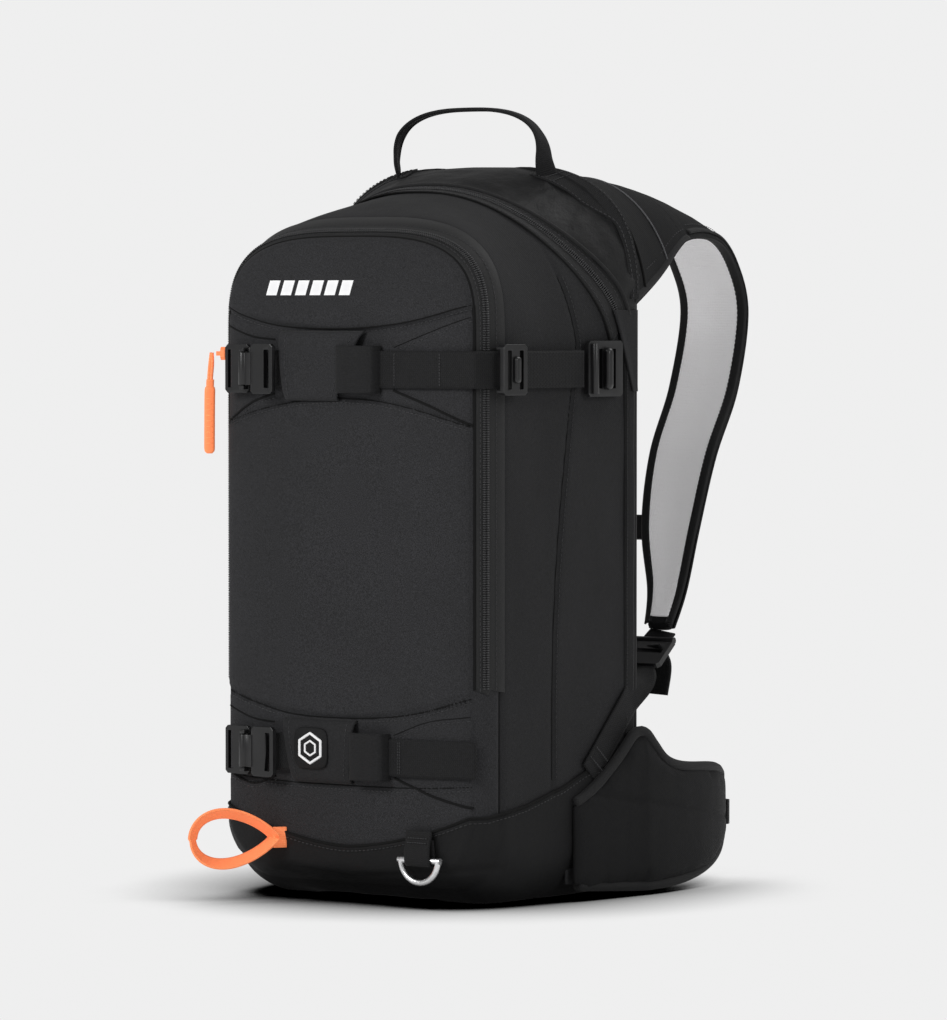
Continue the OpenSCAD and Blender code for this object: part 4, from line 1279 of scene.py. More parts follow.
def badge():
    """Rounded patch on the lower strap with two plain hexagon outlines."""
    low, high = box_mm("front_badge")
    middle = (low + high) / 2
    half = (high[0] - low[0]) / 2

    def plane(x):
        return pocket_depth(x, np.full(np.shape(x), middle[2])) - 7.0

    corner = np.stack(power_circle(np.linspace(0, 2 * math.pi, 64, endpoint=False), 0.45), 1)
    patch = rounded_slab("badge_patch", middle[[0, 2]] + half * corner, plane, 1.3, BASE_CLOTH)
    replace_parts(patch, "front_badge")
    for tag, size, radius in (("outer", 10.2, 0.95), ("inner", 5.0, 0.7)):
        corners = [(middle[0] + size * math.sin(a), middle[2] + size * math.cos(a))
                   for a in np.radians(np.arange(0, 361, 60))]
        rim = [(x, plane(x) - 1.5, z) for x, z in resample(corners, 73)[:-1]]
        tube(f"badge_hexagon_{tag}", rim, radius, PRINT, closed=True)


badge()


# ---------------------------------------------------------------- grab handle and the webbing it grows from

def arch_normal(a, y):
    """Outward normal of the bag's top at angle a and depth y."""
    across = arch_point(a + 0.01, y) - arch_point(a - 0.01, y)
    back = arch_point(a, y + 0.5) - arch_point(a, y - 0.5)
    n = unit(np.cross(back, across))
    return n if n @ (arch_point(a, y) - BAG_MIDDLE) > 0 else -n


HANDLE = box_mm("grab_handle")
HANDLE_Y = (HANDLE[0][1] + HANDLE[1][1]) / 2
HANDLE_HW = HANDLE[1][0]
HANDLE_BASE = HANDLE[0][2]
HANDLE_RISE = HANDLE[1][2] - HANDLE_BASE


def web_y(a):
    """Depth of the edge webbing's middle, which runs towards the back edge as it comes down."""
    return 64 + 5.6 * smooth_share(math.degrees(a), 50, 28)


def grab_handle():
    c, s = power_circle(np.linspace(math.pi, 0, 31), 0.74)
    arc = np.stack([HANDLE_HW * c, np.full(31, HANDLE_Y), HANDLE_BASE + HANDLE_RISE * s], 1)
    foot = [(-HANDLE_HW - 1, HANDLE_Y + 5, HANDLE_BASE - 16), (-HANDLE_HW, HANDLE_Y + 2, HANDLE_BASE - 7)]
    keys = np.vstack([foot, arc, mirrored(foot, -1)[::-1]])
    path = spline(keys, 120)
    middle = np.array([0, HANDLE_Y, HANDLE_BASE - 6])
    out = unit(path - middle)
    s = np.linspace(-1, 1, 120)
    leg = np.clip((np.abs(s) - 0.62) / 0.38, 0, 1)
    out = unit(out + np.array([0, -0.9, 0]) * leg[:, None])
    width = 9.5 + 5.5 * np.clip((np.abs(s) - 0.5) / 0.4, 0, 1) ** 1.5
    handle = ribbon("grab_handle_webbing", path, out, width, WEBBING, 2.2, None, cols=13, sag=1.0)
    joins(handle)
    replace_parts(handle, "grab_handle")


grab_handle()
for side, tag in SIDES:
    angles = np.radians(np.linspace(73, 3, 60))
    path = mirrored([arch_point(a, web_y(a), 3.6) for a in angles], side)
    normals = mirrored([arch_normal(a, web_y(a)) for a in angles], side)
    width = np.array([NARROW_WEB - 11.5 * smooth_share(math.degrees(a), 50, 28) for a in angles])
    ribbon(f"edge_webbing_{tag}", path, normals, width, WEBBING, 1.5, cols=11)
    for k, way in enumerate((-1, 1)):
        row = [arch_point(a, web_y(a) + way * (w / 2 - 2), 3.8) for a, w in zip(angles, width)]
        row = mirrored(row, side)
        stitches(f"edge_webbing_stitches_{tag}_{k}", row, normals, THREAD)
    for k in range(3):
        a = math.radians(70 - 3.4 * k)
        row = mirrored([arch_point(a, y, 3.9) for y in np.linspace(56, 72, 8)], side)
        stitches(f"handle_tack_{tag}_{k}", row, mirrored(arch_normal(a, 64), side), THREAD,
                 pitch=1.8, length=1.6, radius=0.4)


# ---------------------------------------------------------------- yoke and shoulder straps

STRAP_INNER = np.array([
    [28, 64, 503], [38, 110, 499], [50, 158, 489], [55, 205, 467], [53, 240, 436], [52, 256, 400],
    [55, 236, 345], [62, 200, 298], [74, 172, 248], [92, 154, 205], [103, 134, 178]], float)
STRAP_OUTER = np.array([
    [131, 64, 402], [126, 108, 424], [119, 155, 453], [113, 205, 455], [107, 240, 436], [106, 256, 400],
    [110, 236, 345], [116, 198, 298], [119, 171, 248], [120, 152, 205], [122, 132, 178]], float)
STRAP_CROWN = np.array([36, 22, 10, 6, 4, 4, 4, 4, 4, 2, 1], float)[:, None]
STRAP_THICK = 8.0
YOKE_END = 2.1


def at_key(keys, t):
    """Smooth value between the keys at a fractional key number t."""
    n = len(keys) - 1
    i = int(np.clip(math.floor(t), 0, n - 1))
    return catmull_rom(keys[max(i - 1, 0)], keys[i], keys[i + 1], keys[min(i + 2, n)], t - i)


def strap_out(t):
    """Unit vector away from the bag's side of the strap at key t."""
    before, after = ((at_key(STRAP_INNER, k) + at_key(STRAP_OUTER, k)) for k in (t - 0.01, t + 0.01))
    return unit(np.cross(after - before, at_key(STRAP_INNER, t) - at_key(STRAP_OUTER, t)))


def strap_point(t, s, under):
    """Point of the strap at key t, at share s of its width, at a depth under its crowned face."""
    a, b = at_key(STRAP_INNER, t), at_key(STRAP_OUTER, t)
    return a + (b - a) * s + strap_out(t) * (at_key(STRAP_CROWN, t)[0] * 4 * s * (1 - s) - under)


def pad_half(s):
    """Half thickness of the pad across its width: full in the middle, thin at the bound edges."""
    return (STRAP_THICK / 2) * (0.28 + 0.72 * max(0.0, 1 - abs(2 * s - 1) ** 3.5) ** 0.6)


def joins_strap(piece):
    """Bakes the transform of a piece on the shoulder strap into its mesh."""
    joins(piece)


def pad_tube(name, side, t1, t2, rows, body):
    """Closed padded form between two keys."""
    across = 0.5 - 0.5 * np.cos(np.linspace(0, math.pi, 17))
    verts = []
    for t in np.linspace(t1, t2, rows):
        end = min(1, (t - t1) / 0.06 + 0.3, (t2 - t) / 0.06 + 0.3)
        top = [strap_point(t, s, STRAP_THICK / 2 - pad_half(s) * end) for s in across]
        low = [strap_point(t, s, STRAP_THICK / 2 + pad_half(s) * end) for s in across[-2:0:-1]]
        verts += top + low
    verts = mirrored(verts, side)
    verts = verts + 0.35 * ripple(verts, 16, 21)[:, None]
    return new_piece(name, verts, tube_faces(rows, 2 * len(across) - 2), PAD_CLOTH, body)


def edge_binding(name, side, s, under, t1, t2, width, face, joined):
    """Binding tape along a strap's edge; face is 1 on its outer side and -1 on the wearer's side."""
    keys = np.linspace(t1, t2, int(26 * (t2 - t1)) + 8)
    path = mirrored([strap_point(t, s, under) for t in keys], side)
    out = mirrored([strap_out(t) * face for t in keys], side)
    body = None if joined else "pack"
    piece = ribbon(name, path, out, width, BINDING, 1.3, body, cols=7, sag=1.1)
    row = mirrored([strap_point(t, s + (0.055 if s < 0.5 else -0.055), under) for t in keys], side)
    thread = stitches(f"{name}_stitches", row + out * 0.2, out, THREAD, body)
    if joined:
        joins_strap(piece)
        joins_strap(thread)


for side, tag in SIDES:
    yoke = pad_tube(f"yoke_pad_{tag}", side, 0.16, YOKE_END, 44, "pack")
    if side > 0:
        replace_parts(yoke, "yoke_panel")
    # The first line across the yoke is painted seam shade, a near-black tube; the second is grey piping.
    for k, (t, material, radius) in enumerate(((0.62, SEAM_SHADE, 1.1), (1.36, LINING, 0.6))):
        line = [strap_point(t, s, STRAP_THICK / 2 - pad_half(s) - 0.3) for s in np.linspace(0.02, 0.98, 50)]
        tube(f"yoke_piping_{tag}_{k}", mirrored(line, side), radius, material)
    edge_binding(f"yoke_edge_{tag}", side, 0.965, 1.6, 0.2, YOKE_END - 0.05, 8, 1, False)
    pad = pad_tube(f"shoulder_pad_{tag}", side, YOKE_END - 0.25, 9.98, 190, None)
    joins_strap(pad)
    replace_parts(pad, f"shoulder_strap_{tag}")
    keys = np.linspace(YOKE_END + 0.05, 9.7, 150)
    lining = [[strap_point(t, s, STRAP_THICK / 2 + pad_half(s) + 0.7) for s in np.linspace(0.07, 0.93, 19)]
              for t in keys]
    lining = sheet(f"strap_lining_{tag}", mirrored(lining, side), STRAP_GREY, 0.8, None, flip=side > 0)
    joins_strap(lining)
    for face, label in ((-1, "inside"), (1, "outside")):
        for s, edge in ((0.055, "near"), (0.945, "far")):
            under = STRAP_THICK / 2 - face * (pad_half(s) + 1.1)
            edge_binding(f"strap_binding_{label}_{edge}_{tag}", side, s, under, YOKE_END, 9.9,
                         7.5 if face < 0 else 6, face, True)


# ---------------------------------------------------------------- lower webbing of the shoulder straps

LOCK = box_mm("ladder_lock_right")
LOCK_MIDDLE = (LOCK[0] + LOCK[1]) / 2
LOCK_LEAN = math.radians(38)
LOCK_ALONG = np.array([0, math.cos(LOCK_LEAN), math.sin(LOCK_LEAN)])
LOCK_OUT = np.array([0.15, -math.sin(LOCK_LEAN), math.cos(LOCK_LEAN)])
for side, tag in SIDES:
    keys = [(125.6, 23, 86), (127.6, 48, 113), (129.3, 70, 137), (125, 88, 149),
            LOCK_MIDDLE - LOCK_ALONG * 15, LOCK_MIDDLE, LOCK_MIDDLE + LOCK_ALONG * 13, (112.5, 133.5, 178)]
    path = spline(keys, 90)
    turn = np.clip((path[:, 1] - 66) / 34, 0, 1)[:, None]
    out = mirrored(unit((1 - turn) * [1, 0, 0] + turn * LOCK_OUT), side)
    web = ribbon(f"lower_webbing_{tag}", mirrored(path, side), out, NARROW_WEB, WEBBING, 1.5, None, cols=11)
    joins(web)
    if side > 0:
        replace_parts(web, "strap_anchors")
    tail = spline([LOCK_MIDDLE + [0, 3, 5], LOCK_MIDDLE + [3, 12, -8], LOCK_MIDDLE + [2, 9, -30]], 30)
    ribbon(f"lower_webbing_tail_{tag}", mirrored(tail, side), mirrored((0.1, 0.9, 0.35), side), NARROW_WEB,
           WEBBING, 1.5, f"strap_{tag}", cols=11)
    for k in range(2):
        row = on_side([(27 + 6 * k + 6 * u, 93 + 6 * k - 5.4 * u) for u in np.linspace(-1, 1, 7)], side, 4.4)
        stitches(f"anchor_tack_{tag}_{k}", row, (side, 0, 0), THREAD, pitch=1.9, length=1.7, radius=0.4)


# ---------------------------------------------------------------- hip belt

FIN_PLAN = [[143, 72], [146, 104], [145, 137], [139, 169], [128, 194], [116, 211]]
WING_Y = 68
FIN_THICK = 11


def soften(values):
    return np.convolve(np.pad(values, 3, mode="edge"), np.ones(7) / 7, mode="valid")


def fin_course():
    """Plan points of the hip fin's outer face, from the bag's side to the tip, with its height limits."""
    count = 70
    wing = [(half_width(y) + 3 + FIN_THICK - 6 * (WING_Y - y) / WING_Y, y)
            for y in np.linspace(-4, WING_Y, 8)]
    path = spline(wing + FIN_PLAN, count)
    low, high = [], []
    root = int(np.argmin(np.abs(path[:, 1] - 72)))
    for i, (x, y) in enumerate(path):
        s = (i - root) / (count - 1 - root)
        w = (y + 4) / (WING_Y + 4)
        low.append(3 + 5 * (1 - w) if s < 0 else 3 + 35 * s ** 2.5)
        high.append(66 + 54 * w ** 1.6 if s < 0 else 86 + 34 * math.exp(-s / 0.1) - 21 * s ** 5)
    return path, soften(low), soften(high)


def fin_block(side, trim, off1, off2):
    """Closed block that follows the fin's course between two depths, trimmed at its edges."""
    path, low, high = fin_course()
    rows = np.linspace(0, 1, 16)
    grids = []
    for off in (off1, off2):
        plan = path - sides_of(path)[:, :2] * off
        grid = [[(p[0], p[1], (lo + trim) * (1 - r) + (hi - trim) * r) for r in rows]
                for p, lo, hi in zip(plan, low, high)]
        grids.append(np.array(grid)[2:-1])
    return mirrored(grids[0], side), mirrored(grids[1], side)


def joins_fin(piece):
    """Bakes the transform of a piece on the hip fin into its mesh."""
    joins(piece)


def fin_edge(side):
    """Path round the free edge of the fin, in the middle of its thickness."""
    path, low, high = fin_course()
    plan = path - sides_of(path)[:, :2] * 6.0
    top = [(p[0], p[1], h - 2) for p, h in zip(plan, high)][3:-2]
    foot = [(p[0], p[1], lo + 3.2) for p, lo in zip(plan, low)][3:-2]
    tip = [(plan[-1][0], plan[-1][1], z) for z in np.linspace(high[-1] - 9, low[-1] + 9, 6)]
    return mirrored(spline(np.array(top[::3] + tip + foot[::-1][::3]), 170), side)


for side, tag in SIDES:
    fin = new_piece(f"hip_fin_pad_{tag}", *slab(*fin_block(side, 0.8, 2.6, 8.2)), PAD_CLOTH, None)
    puff(fin, voxel=4.0, cap=2.0)
    points = points_of(fin)
    crease = np.abs(points[:, 2] - 74 + 0.16 * (points[:, 1] - 10)) + 100 * (np.abs(points[:, 0]) < 126)
    points[:, 0] -= side * seam_groove(crease, 2.4, 1.3)
    points += 0.6 * ripple(points, 30, 31)[:, None] * [1, 0.2, 0]
    put_points(fin, points)
    joins_fin(fin)
    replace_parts(fin, f"hip_fin_{tag}", *(["hip_bases"] if side > 0 else []))
    mesh = new_piece(f"hip_fin_mesh_{tag}", *slab(*fin_block(side, 4.0, 10.5, 11.7)), BLACK_MESH, None)
    joins_fin(mesh)
    binding = tube(f"hip_fin_binding_{tag}", fin_edge(side), 3.7, BINDING, None, sides=12)
    joins_fin(binding)
    tip = np.append(fin_course()[0][-1], 46) + [2, 1, 0]
    tab_line = spline([tip + [3, -7, 0], tip, tip + [-5, 3, 0]], 12)
    ribbon(f"hip_fin_tab_{tag}", mirrored(tab_line, side), mirrored((0.7, 0.7, 0), side), 17, WEBBING, 1.8,
           f"fin_{tag}")
    belt = spline([(115, 207), (106, 213), (90, 223), (75, 229.5), (61, 232.5)], 50)
    belt = np.column_stack([belt, np.full(50, 52.0)])
    web = ribbon(f"hip_belt_webbing_{tag}", mirrored(belt, side), mirrored(sides_of(belt), side), WEB_WIDE,
                 WEBBING, 1.5, f"fin_{tag}", cols=11)
    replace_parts(web, f"hip_webbing_{tag}")


# ---------------------------------------------------------------- back panel

def disc(name, ring, depth, thick, material):
    """Filled outline in the plane y = depth, built from shrinking rings, with a rippled rear face."""
    middle = np.array([0, POCKET_MID_Z])
    scales = np.concatenate([np.linspace(1, 0.9, 8), np.linspace(0.88, 0.04, 40)])
    flat = np.array([middle + (ring - middle) * k for k in scales])
    rear = np.stack([flat[..., 0], np.full(flat.shape[:2], depth + thick), flat[..., 1]], 2)
    front = np.stack([flat[..., 0], np.full(flat.shape[:2], depth), flat[..., 1]], 2)
    rear[..., 1] += 0.5 * grid_ripple(rear, 45, 33)
    rows, cols = flat.shape[:2]
    q = rows * cols
    verts = np.vstack([rear.reshape(-1, 3), front.reshape(-1, 3), [rear[-1].mean(0)], [front[-1].mean(0)]])
    faces = grid_faces(rows, cols, wrap=True) + [f[::-1] for f in grid_faces(rows, cols, wrap=True, start=q)]
    faces += band(q, 0, cols) + fan(q - cols, cols, 2 * q) + fan(2 * q - cols, cols, 2 * q + 1, back=True)
    return new_piece(name, verts, faces, material)


back_half = half_section(RIM_Y, out=-0.5)
back_ring = mirror_join(np.column_stack([back_half, np.zeros(len(back_half))]))[:, :2]
back = disc("back_panel_cloth", back_ring, RIM_Y - 0.2, 3.6, BLACK_MESH)
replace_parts(back, "back_pad")
rim = resample(np.vstack([back_ring, back_ring[:1]]), 260)[:-1]
rim_line = np.stack([rim[:, 0] * 0.992, np.full(len(rim), RIM_Y + 2.2), 2 + rim[:, 1] * 0.992], 1)
tube("back_rim_binding", rim_line, 2.6, BINDING, sides=10, closed=True)

LUMBAR = box_mm("lumbar_pad")
PAD = box_mm("back_pad")


def pad_block(name, x, z, y1, y2):
    """Foam pad with rounded corners between the limits x, z and two depths, padded out by simulation."""
    low, high = np.array([x[0], z[0]]), np.array([x[1], z[1]])
    count = 72
    outline = np.stack(power_circle(np.linspace(0, 2 * math.pi, count, endpoint=False), 0.35), 1)
    rings = []
    for y, grow in ((y1, 0), (y1 + 0.5 * (y2 - y1), 1.0), (y2, -2.0)):
        ring = (low + high) / 2 + outline * ((high - low) / 2 + grow)
        rings.append(np.stack([ring[:, 0], np.full(count, y), ring[:, 1]], 1))
    verts = np.concatenate(rings + [[rings[0].mean(0)], [rings[2].mean(0)]])
    faces = grid_faces(3, count, wrap=True)
    faces += fan(0, count, 3 * count, back=True) + fan(2 * count, count, 3 * count + 1)
    piece = new_piece(name, verts, faces, BLACK_MESH, None)
    puff(piece, voxel=4.5, cap=3.0)
    points = points_of(piece)
    points[:, 1] = np.clip(points[:, 1], y1, y2 + 2.2)
    put_points(piece, points)
    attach(piece, "pack")
    return piece


for side, tag in SIDES:
    for k, (z1, z2, outer) in enumerate(((122, 232, 104), (244, 342, 104), (354, 428, 88))):
        pad_block(f"back_foam_{tag}_{k}", sorted((side * 17, side * outer)), (z1, z2), RIM_Y + 4.5,
                  PAD[1][1] - 1)
lumbar = pad_block("lumbar_foam", (LUMBAR[0][0] + 3, LUMBAR[1][0] - 3), (LUMBAR[0][2] + 3, LUMBAR[1][2] - 3),
                   PAD[1][1] - 8, LUMBAR[1][1] - 1.5)
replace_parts(lumbar, "lumbar_pad")


# ---------------------------------------------------------------- ski loop, D-ring tab and zip pulls

LOOP_ROOT = np.array([-55, -93, 42.0])
LOOP_TURN = math.radians(233)
LOOP_LENGTH = 60
LOOP_RISE = 22


def ski_loop():
    """Teardrop of flat webbing; it twists a little, so that its broad side shows."""
    heading = np.array([math.cos(LOOP_TURN), math.sin(LOOP_TURN), 0])
    side = np.array([math.sin(LOOP_TURN), -math.cos(LOOP_TURN), 0])
    path, out = [], []
    for a in np.linspace(8, 352, 90):
        r, s = math.radians(a), math.sin(math.radians(a / 2))
        path.append(LOOP_ROOT + heading * LOOP_LENGTH * (1 - math.cos(r)) / 2
                    + [0, 0, -LOOP_RISE * math.sin(r) * s ** 0.7])
        round_out = heading * -math.cos(r) + np.array([0, 0, -math.sin(r)])
        out.append(unit(round_out + side * (0.3 + 0.5 * s ** 2) * (1 if a > 180 else 0.7)))
    path, out = np.array(path), np.array(out)
    loop = ribbon("ski_loop_webbing", path, out, 13.5, ORANGE_WEB, 1.4, None, cols=9, sag=0.3)
    joins(loop)
    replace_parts(loop, "ski_loop")
    root = [LOOP_ROOT - heading * 2 + [0, 0, z] for z in (-7, -3.5, 0, 3.5, 7)]
    ribbon("ski_loop_root", np.array(root), side, 9, ORANGE_WEB, 3.2)


ski_loop()

RING_LOW, RING_HIGH = box_mm("d_ring")
RING_BAR = np.array([(RING_LOW[0] + RING_HIGH[0]) / 2, (RING_LOW[1] + RING_HIGH[1]) / 2, RING_HIGH[2] - 2.2])
TAB_KEYS = [(-0.6, 20), (-1.6, 16), (-3.2, 10), (-3.9, 4), (-3.6, -1.5), (-1.9, -3.9), (1.4, -4.0),
            (3.4, -1.8), (3.6, 5), (2.4, 14)]
tab_path = spline([RING_BAR + [0, y, z] for y, z in TAB_KEYS], 60)
tab_out = unit(np.cross(tangents(tab_path), [1.0, 0, 0]))
if tab_out[12] @ [0, -1, 0] < 0:
    tab_out = -tab_out
tab = ribbon("d_ring_webbing", tab_path, tab_out, NARROW_WEB, WEBBING, 1.5, cols=11)
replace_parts(tab, "d_ring_tab")
for z in (12, 15):
    row = np.array([RING_BAR + [x, -3.3 + (z - 12) * 0.3, z] for x in np.linspace(-8, 8, 8)])
    stitches(f"d_ring_tack_{z}", row, (0, -1, 0.2), THREAD, pitch=1.8, length=1.6, radius=0.42)

PULL_LOW, PULL_HIGH = box_mm("pocket_zip_pull")
PULL_TOP = np.array([PULL_HIGH[0] - 2.8, (PULL_LOW[1] + PULL_HIGH[1]) / 2, PULL_HIGH[2]])
GRIP_TOP = np.array([PULL_TOP[0], PULL_TOP[1], PULL_LOW[2] + 47])
GRIP_FOOT = np.array([PULL_TOP[0] - 2, PULL_TOP[1], PULL_LOW[2]])
FACING = (0.82, 0.57, 0)
ACROSS = np.array([0.57, -0.82, 0])


def pocket_pull():
    """Ribbed grip on two cords that meet in a knot."""
    path = spline([GRIP_TOP + [-1.5, 0, 1], GRIP_TOP + [-1.8, 0, -12], GRIP_FOOT + [0, 0, 12],
                   GRIP_FOOT + [0, 0, 1]], 34)
    size = 0.35 + 0.65 * end_round(34, 0.08)
    grip = bar("pocket_pull_grip", path, 7.4 * size, 5.0 * size, FACING, ORANGE, "pocket_pull")
    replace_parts(grip, "pocket_zip_pull")
    for k, shift in enumerate((-1.1, 1.1)):
        cord = spline([PULL_TOP + [shift * 0.3, 0, -0.5], GRIP_TOP + [-0.4 + shift, 0, 16],
                       GRIP_TOP + [-1.4 + shift, 0, 6], GRIP_TOP + [-1.5 + shift * 0.6, 0, -3]], 26)
        tube(f"pocket_pull_cord_{k}", cord, 1.15, ORANGE_WEB, "pocket_pull")
    knot = spline([GRIP_TOP + [-1.3, 0, 5], GRIP_TOP + [-1.5, 0, 0]], 8)
    bar("pocket_pull_knot", knot, 5.4, 4.4, FACING, ORANGE, "pocket_pull")
    ribs = line2(GRIP_TOP + [-1.9, 0, -8], GRIP_FOOT + [0.1, 0, 8], 9) + ACROSS * 2.3
    capsules("pocket_pull_ribs", ribs, FACING, ACROSS, 5.0, 0.5, ORANGE, "pocket_pull")


def main_pull():
    """Small grip on a looped cord."""
    low, high = box_mm("main_zip_pull")
    top = np.array([(low[0] + high[0]) / 2, (low[1] + high[1]) / 2, high[2] - 1])
    keys = [(0, 0, 0), (-0.2, -0.9, -7), (-0.3, 0, -14), (-0.2, 0.9, -7), (0, 0.5, -0.3)]
    cord = tube("main_pull_cord", spline(top + np.array(keys), 30), 0.9, PLASTIC, "top_pull")
    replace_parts(cord, "main_zip_pull")
    path = spline([top + [0, 0, -12], top + [0, 0, -33]], 20)
    bar("main_pull_grip", path, 6.0 * end_round(20), 3.4 * end_round(20), (0, 1, 0), PLASTIC, "top_pull")


pocket_pull()
main_pull()


# ---------------------------------------------------------------- webbing at the buckles

for z, tag in ((UPPER_Z, "upper"), (LOWER_Z, "lower")):
    points = on_face([(x, z) for x in np.linspace(-55.5, -38, 16)], 1.0)
    lift = np.linspace(6.2, 1.6, 16)[:, None]
    path = points + lift * [0, -1, 0]
    web = ribbon(f"{tag}_hook_webbing", path, (0, -1, 0), WEB_WIDE, WEBBING, 1.5, None, cols=11)
    joins(web)


for node, wide, deep, half in (("upper_triglide", 6.5, 3.6, 9), ("upper_side_buckle", 7, 6, 14.5)):
    low, high = box_mm(node)
    middle = (low + high) / 2
    rod = np.array([(high[0] - 0.6, middle[1] + 0.5, middle[2] + z) for z in np.linspace(-half, half, 20)])
    bar(f"{node}_rod", rod, wide * end_round(20), deep * end_round(20), (0, 1, 0), PLASTIC,
        "side_buckle" if "side" in node else "pack", power=0.8)


# ---------------------------------------------------------------- release handle, pouch and airbag system

GRIP_AT = np.array([-82, 262, 352.0])
LEAN = math.radians(-14)
GRIP_UP = np.array([0, -math.sin(LEAN), math.cos(LEAN)])
GRIP_OUT = np.array([0, math.cos(LEAN), math.sin(LEAN)])


def at_grip(x, out, up):
    return GRIP_AT + np.array([x, 0, 0]) + GRIP_OUT * out + GRIP_UP * up


def release_handle():
    """T-shaped grip with a waved, ribbed palm on a stem."""
    size = end_round(40, 0.16) * (1 - 0.07 * np.abs(np.sin(np.linspace(0, 5 * math.pi, 40))))
    path = [at_grip(x, 0, -46) for x in np.linspace(-28, 28, 40)]
    palm = bar("release_grip", path, 14 * size, 13.4 * size, GRIP_UP, ORANGE, "pull_handle", power=0.85)
    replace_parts(palm, "release_handle")
    stem = [at_grip(0, 0, up) for up in np.linspace(-42, 19, 40)]
    bar("release_stem", stem, 9.6, 9.6, (1, 0, 0), ORANGE, "pull_handle", power=0.8)
    ribs = [at_grip(x, 6.4, -46) for x in np.linspace(-19, 19, 9)]
    capsules("release_grip_ribs", ribs, GRIP_UP, GRIP_OUT, 8.0, 0.8, ORANGE, "pull_handle")


def handle_pouch():
    """Cloth sleeve round the stem, bound at both ends, with a flap."""
    path = [at_grip(0, -0.2, up) for up in np.linspace(-33, 29, 44)]
    size = (1 + 0.05 * np.sin(np.linspace(0, math.pi, 44))) * (0.55 + 0.45 * end_round(44, 0.07))
    pouch = bar("handle_pouch_cloth", path, 28 * size, 14.8 * size, (1, 0, 0), PAD_CLOTH, "strap_left",
                power=0.55, count=32)
    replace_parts(pouch, "handle_pouch")
    rounds = list(zip(*power_circle(np.linspace(0, 2 * math.pi, 48, endpoint=False), 0.5)))
    for k, up in enumerate((-31, 27)):
        ring = [at_grip(14.4 * c, 7.5 * s, up) for c, s in rounds]
        tube(f"pouch_binding_{k}", ring, 1.5, BINDING, "strap_left", closed=True)
    flap = [[at_grip(x, 8.5 + 0.5 * math.cos(x / 6), up) for x in np.linspace(-11, 11, 12)]
            for up in np.linspace(4, 25, 14)]
    sheet("pouch_flap", flap, WEBBING, 1.2, "strap_left")


release_handle()
handle_pouch()


FOLD_PITCH = 9.5


def folded_balloon():
    """Concertina-folded cloth, packed into a rounded block and held by two bands."""
    low, high = box_mm("airbag_balloon")
    middle, half = (low + high) / 2, (high - low) / 2 - 1.5
    rows, cols = 60, 120
    angles = np.linspace(0, 2 * math.pi, cols, endpoint=False)
    c, s = power_circle(angles, 0.6)
    face = np.minimum(1, np.abs(np.cos(angles)) * 2)
    verts = []
    for x in -np.cos(math.pi * (np.arange(rows) + 0.5) / rows):
        end = (1 - abs(x) ** 3.2) ** 0.42
        y, z = c * half[1] * end, s * half[2] * end
        fold = 1 - 0.09 * (0.5 + 0.5 * np.cos(z * 2 * math.pi / FOLD_PITCH)) * face
        lean = 1 - 0.16 * np.maximum(0, z / half[2]) * abs(x)
        verts.append(middle + np.stack([x * half[0] * lean, y * fold, z], 1))
    verts = np.concatenate(verts)
    verts += 0.6 * ripple(verts, 18, 41)[:, None] * [0, 1, 0.3]
    piece = new_piece("folded_balloon", verts, tube_faces(rows, cols), BALLOON)
    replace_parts(piece, "airbag_balloon")
    c, s = power_circle(np.linspace(0, 2 * math.pi, 60), 0.6)
    for k, x in enumerate((-44, 44)):
        loop = middle + np.stack([np.full(60, x), (half[1] + 0.8) * c, (half[2] + 0.6) * s], 1)
        ribbon(f"balloon_band_{k}", loop, unit((loop - middle) * [0, 1, 1]), 14, WEBBING, 0.9)


folded_balloon()


def sleeve(name, node, seed, from_left=None, from_right=None):
    """Flat lining panel with a hemmed elastic top, as wide as its node or as given from one side."""
    low, high = box_mm(node)
    y, z1, z2 = (low[1] + high[1]) / 2, low[2], high[2]
    x1 = high[0] - from_right if from_right else low[0]
    x2 = low[0] + from_left if from_left else high[0]
    grid = np.array([[(x, y, z) for x in np.linspace(x1, x2, 40)] for z in np.linspace(z1, z2, 60)])
    grid[..., 1] += 0.5 * grid_ripple(grid, 28, seed) * (grid[..., 2] - z1) / (z2 - z1)
    piece = sheet(name, grid, LINING, 0.6)
    hem = np.array([(x, y, z2 - 1) for x in np.linspace(x1, x2, 60)])
    ribbon(f"{name}_hem", hem - [0, 1.1, 0], (0, -1, 0), 9, BINDING, 0.8)
    stitches(f"{name}_hem_stitches", hem - [0, 1.2, 3], (0, -1, 0), THREAD)
    return piece


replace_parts(sleeve("inner_sleeve_cloth", "inner_sleeve", 51), "inner_sleeve")
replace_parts(sleeve("tool_sleeve_cloth_left", "tool_sleeves", 52, from_left=60), "tool_sleeves")
sleeve("tool_sleeve_cloth_right", "tool_sleeves", 53, from_right=60)


# ---------------------------------------------------------------- finishes of the hardware

FINISHES = (
    (PLASTIC, "upper_hook_plate upper_hook_frame lower_hook_plate lower_hook_frame upper_triglide "
              "upper_side_buckle ladder_lock_right ladder_lock_left chest_rail_right chest_rail_left "
              "chest_slider_right chest_slider_left chest_buckle_female chest_buckle_male main_zip_slider "
              "inflator release_cable"),
    (ALLOY, "hip_buckle_male hip_buckle_female d_ring frame_stays"),
    (ORANGE, "hip_buckle_button pocket_zip_slider"),
    (FRAME_PLASTIC, "frame_sheet"),
    (PAINT, "gas_cartridge"),
    (STEEL, "piercing_pin"),
)
NOT_BEVELLED = ("release_cable", "frame_sheet")


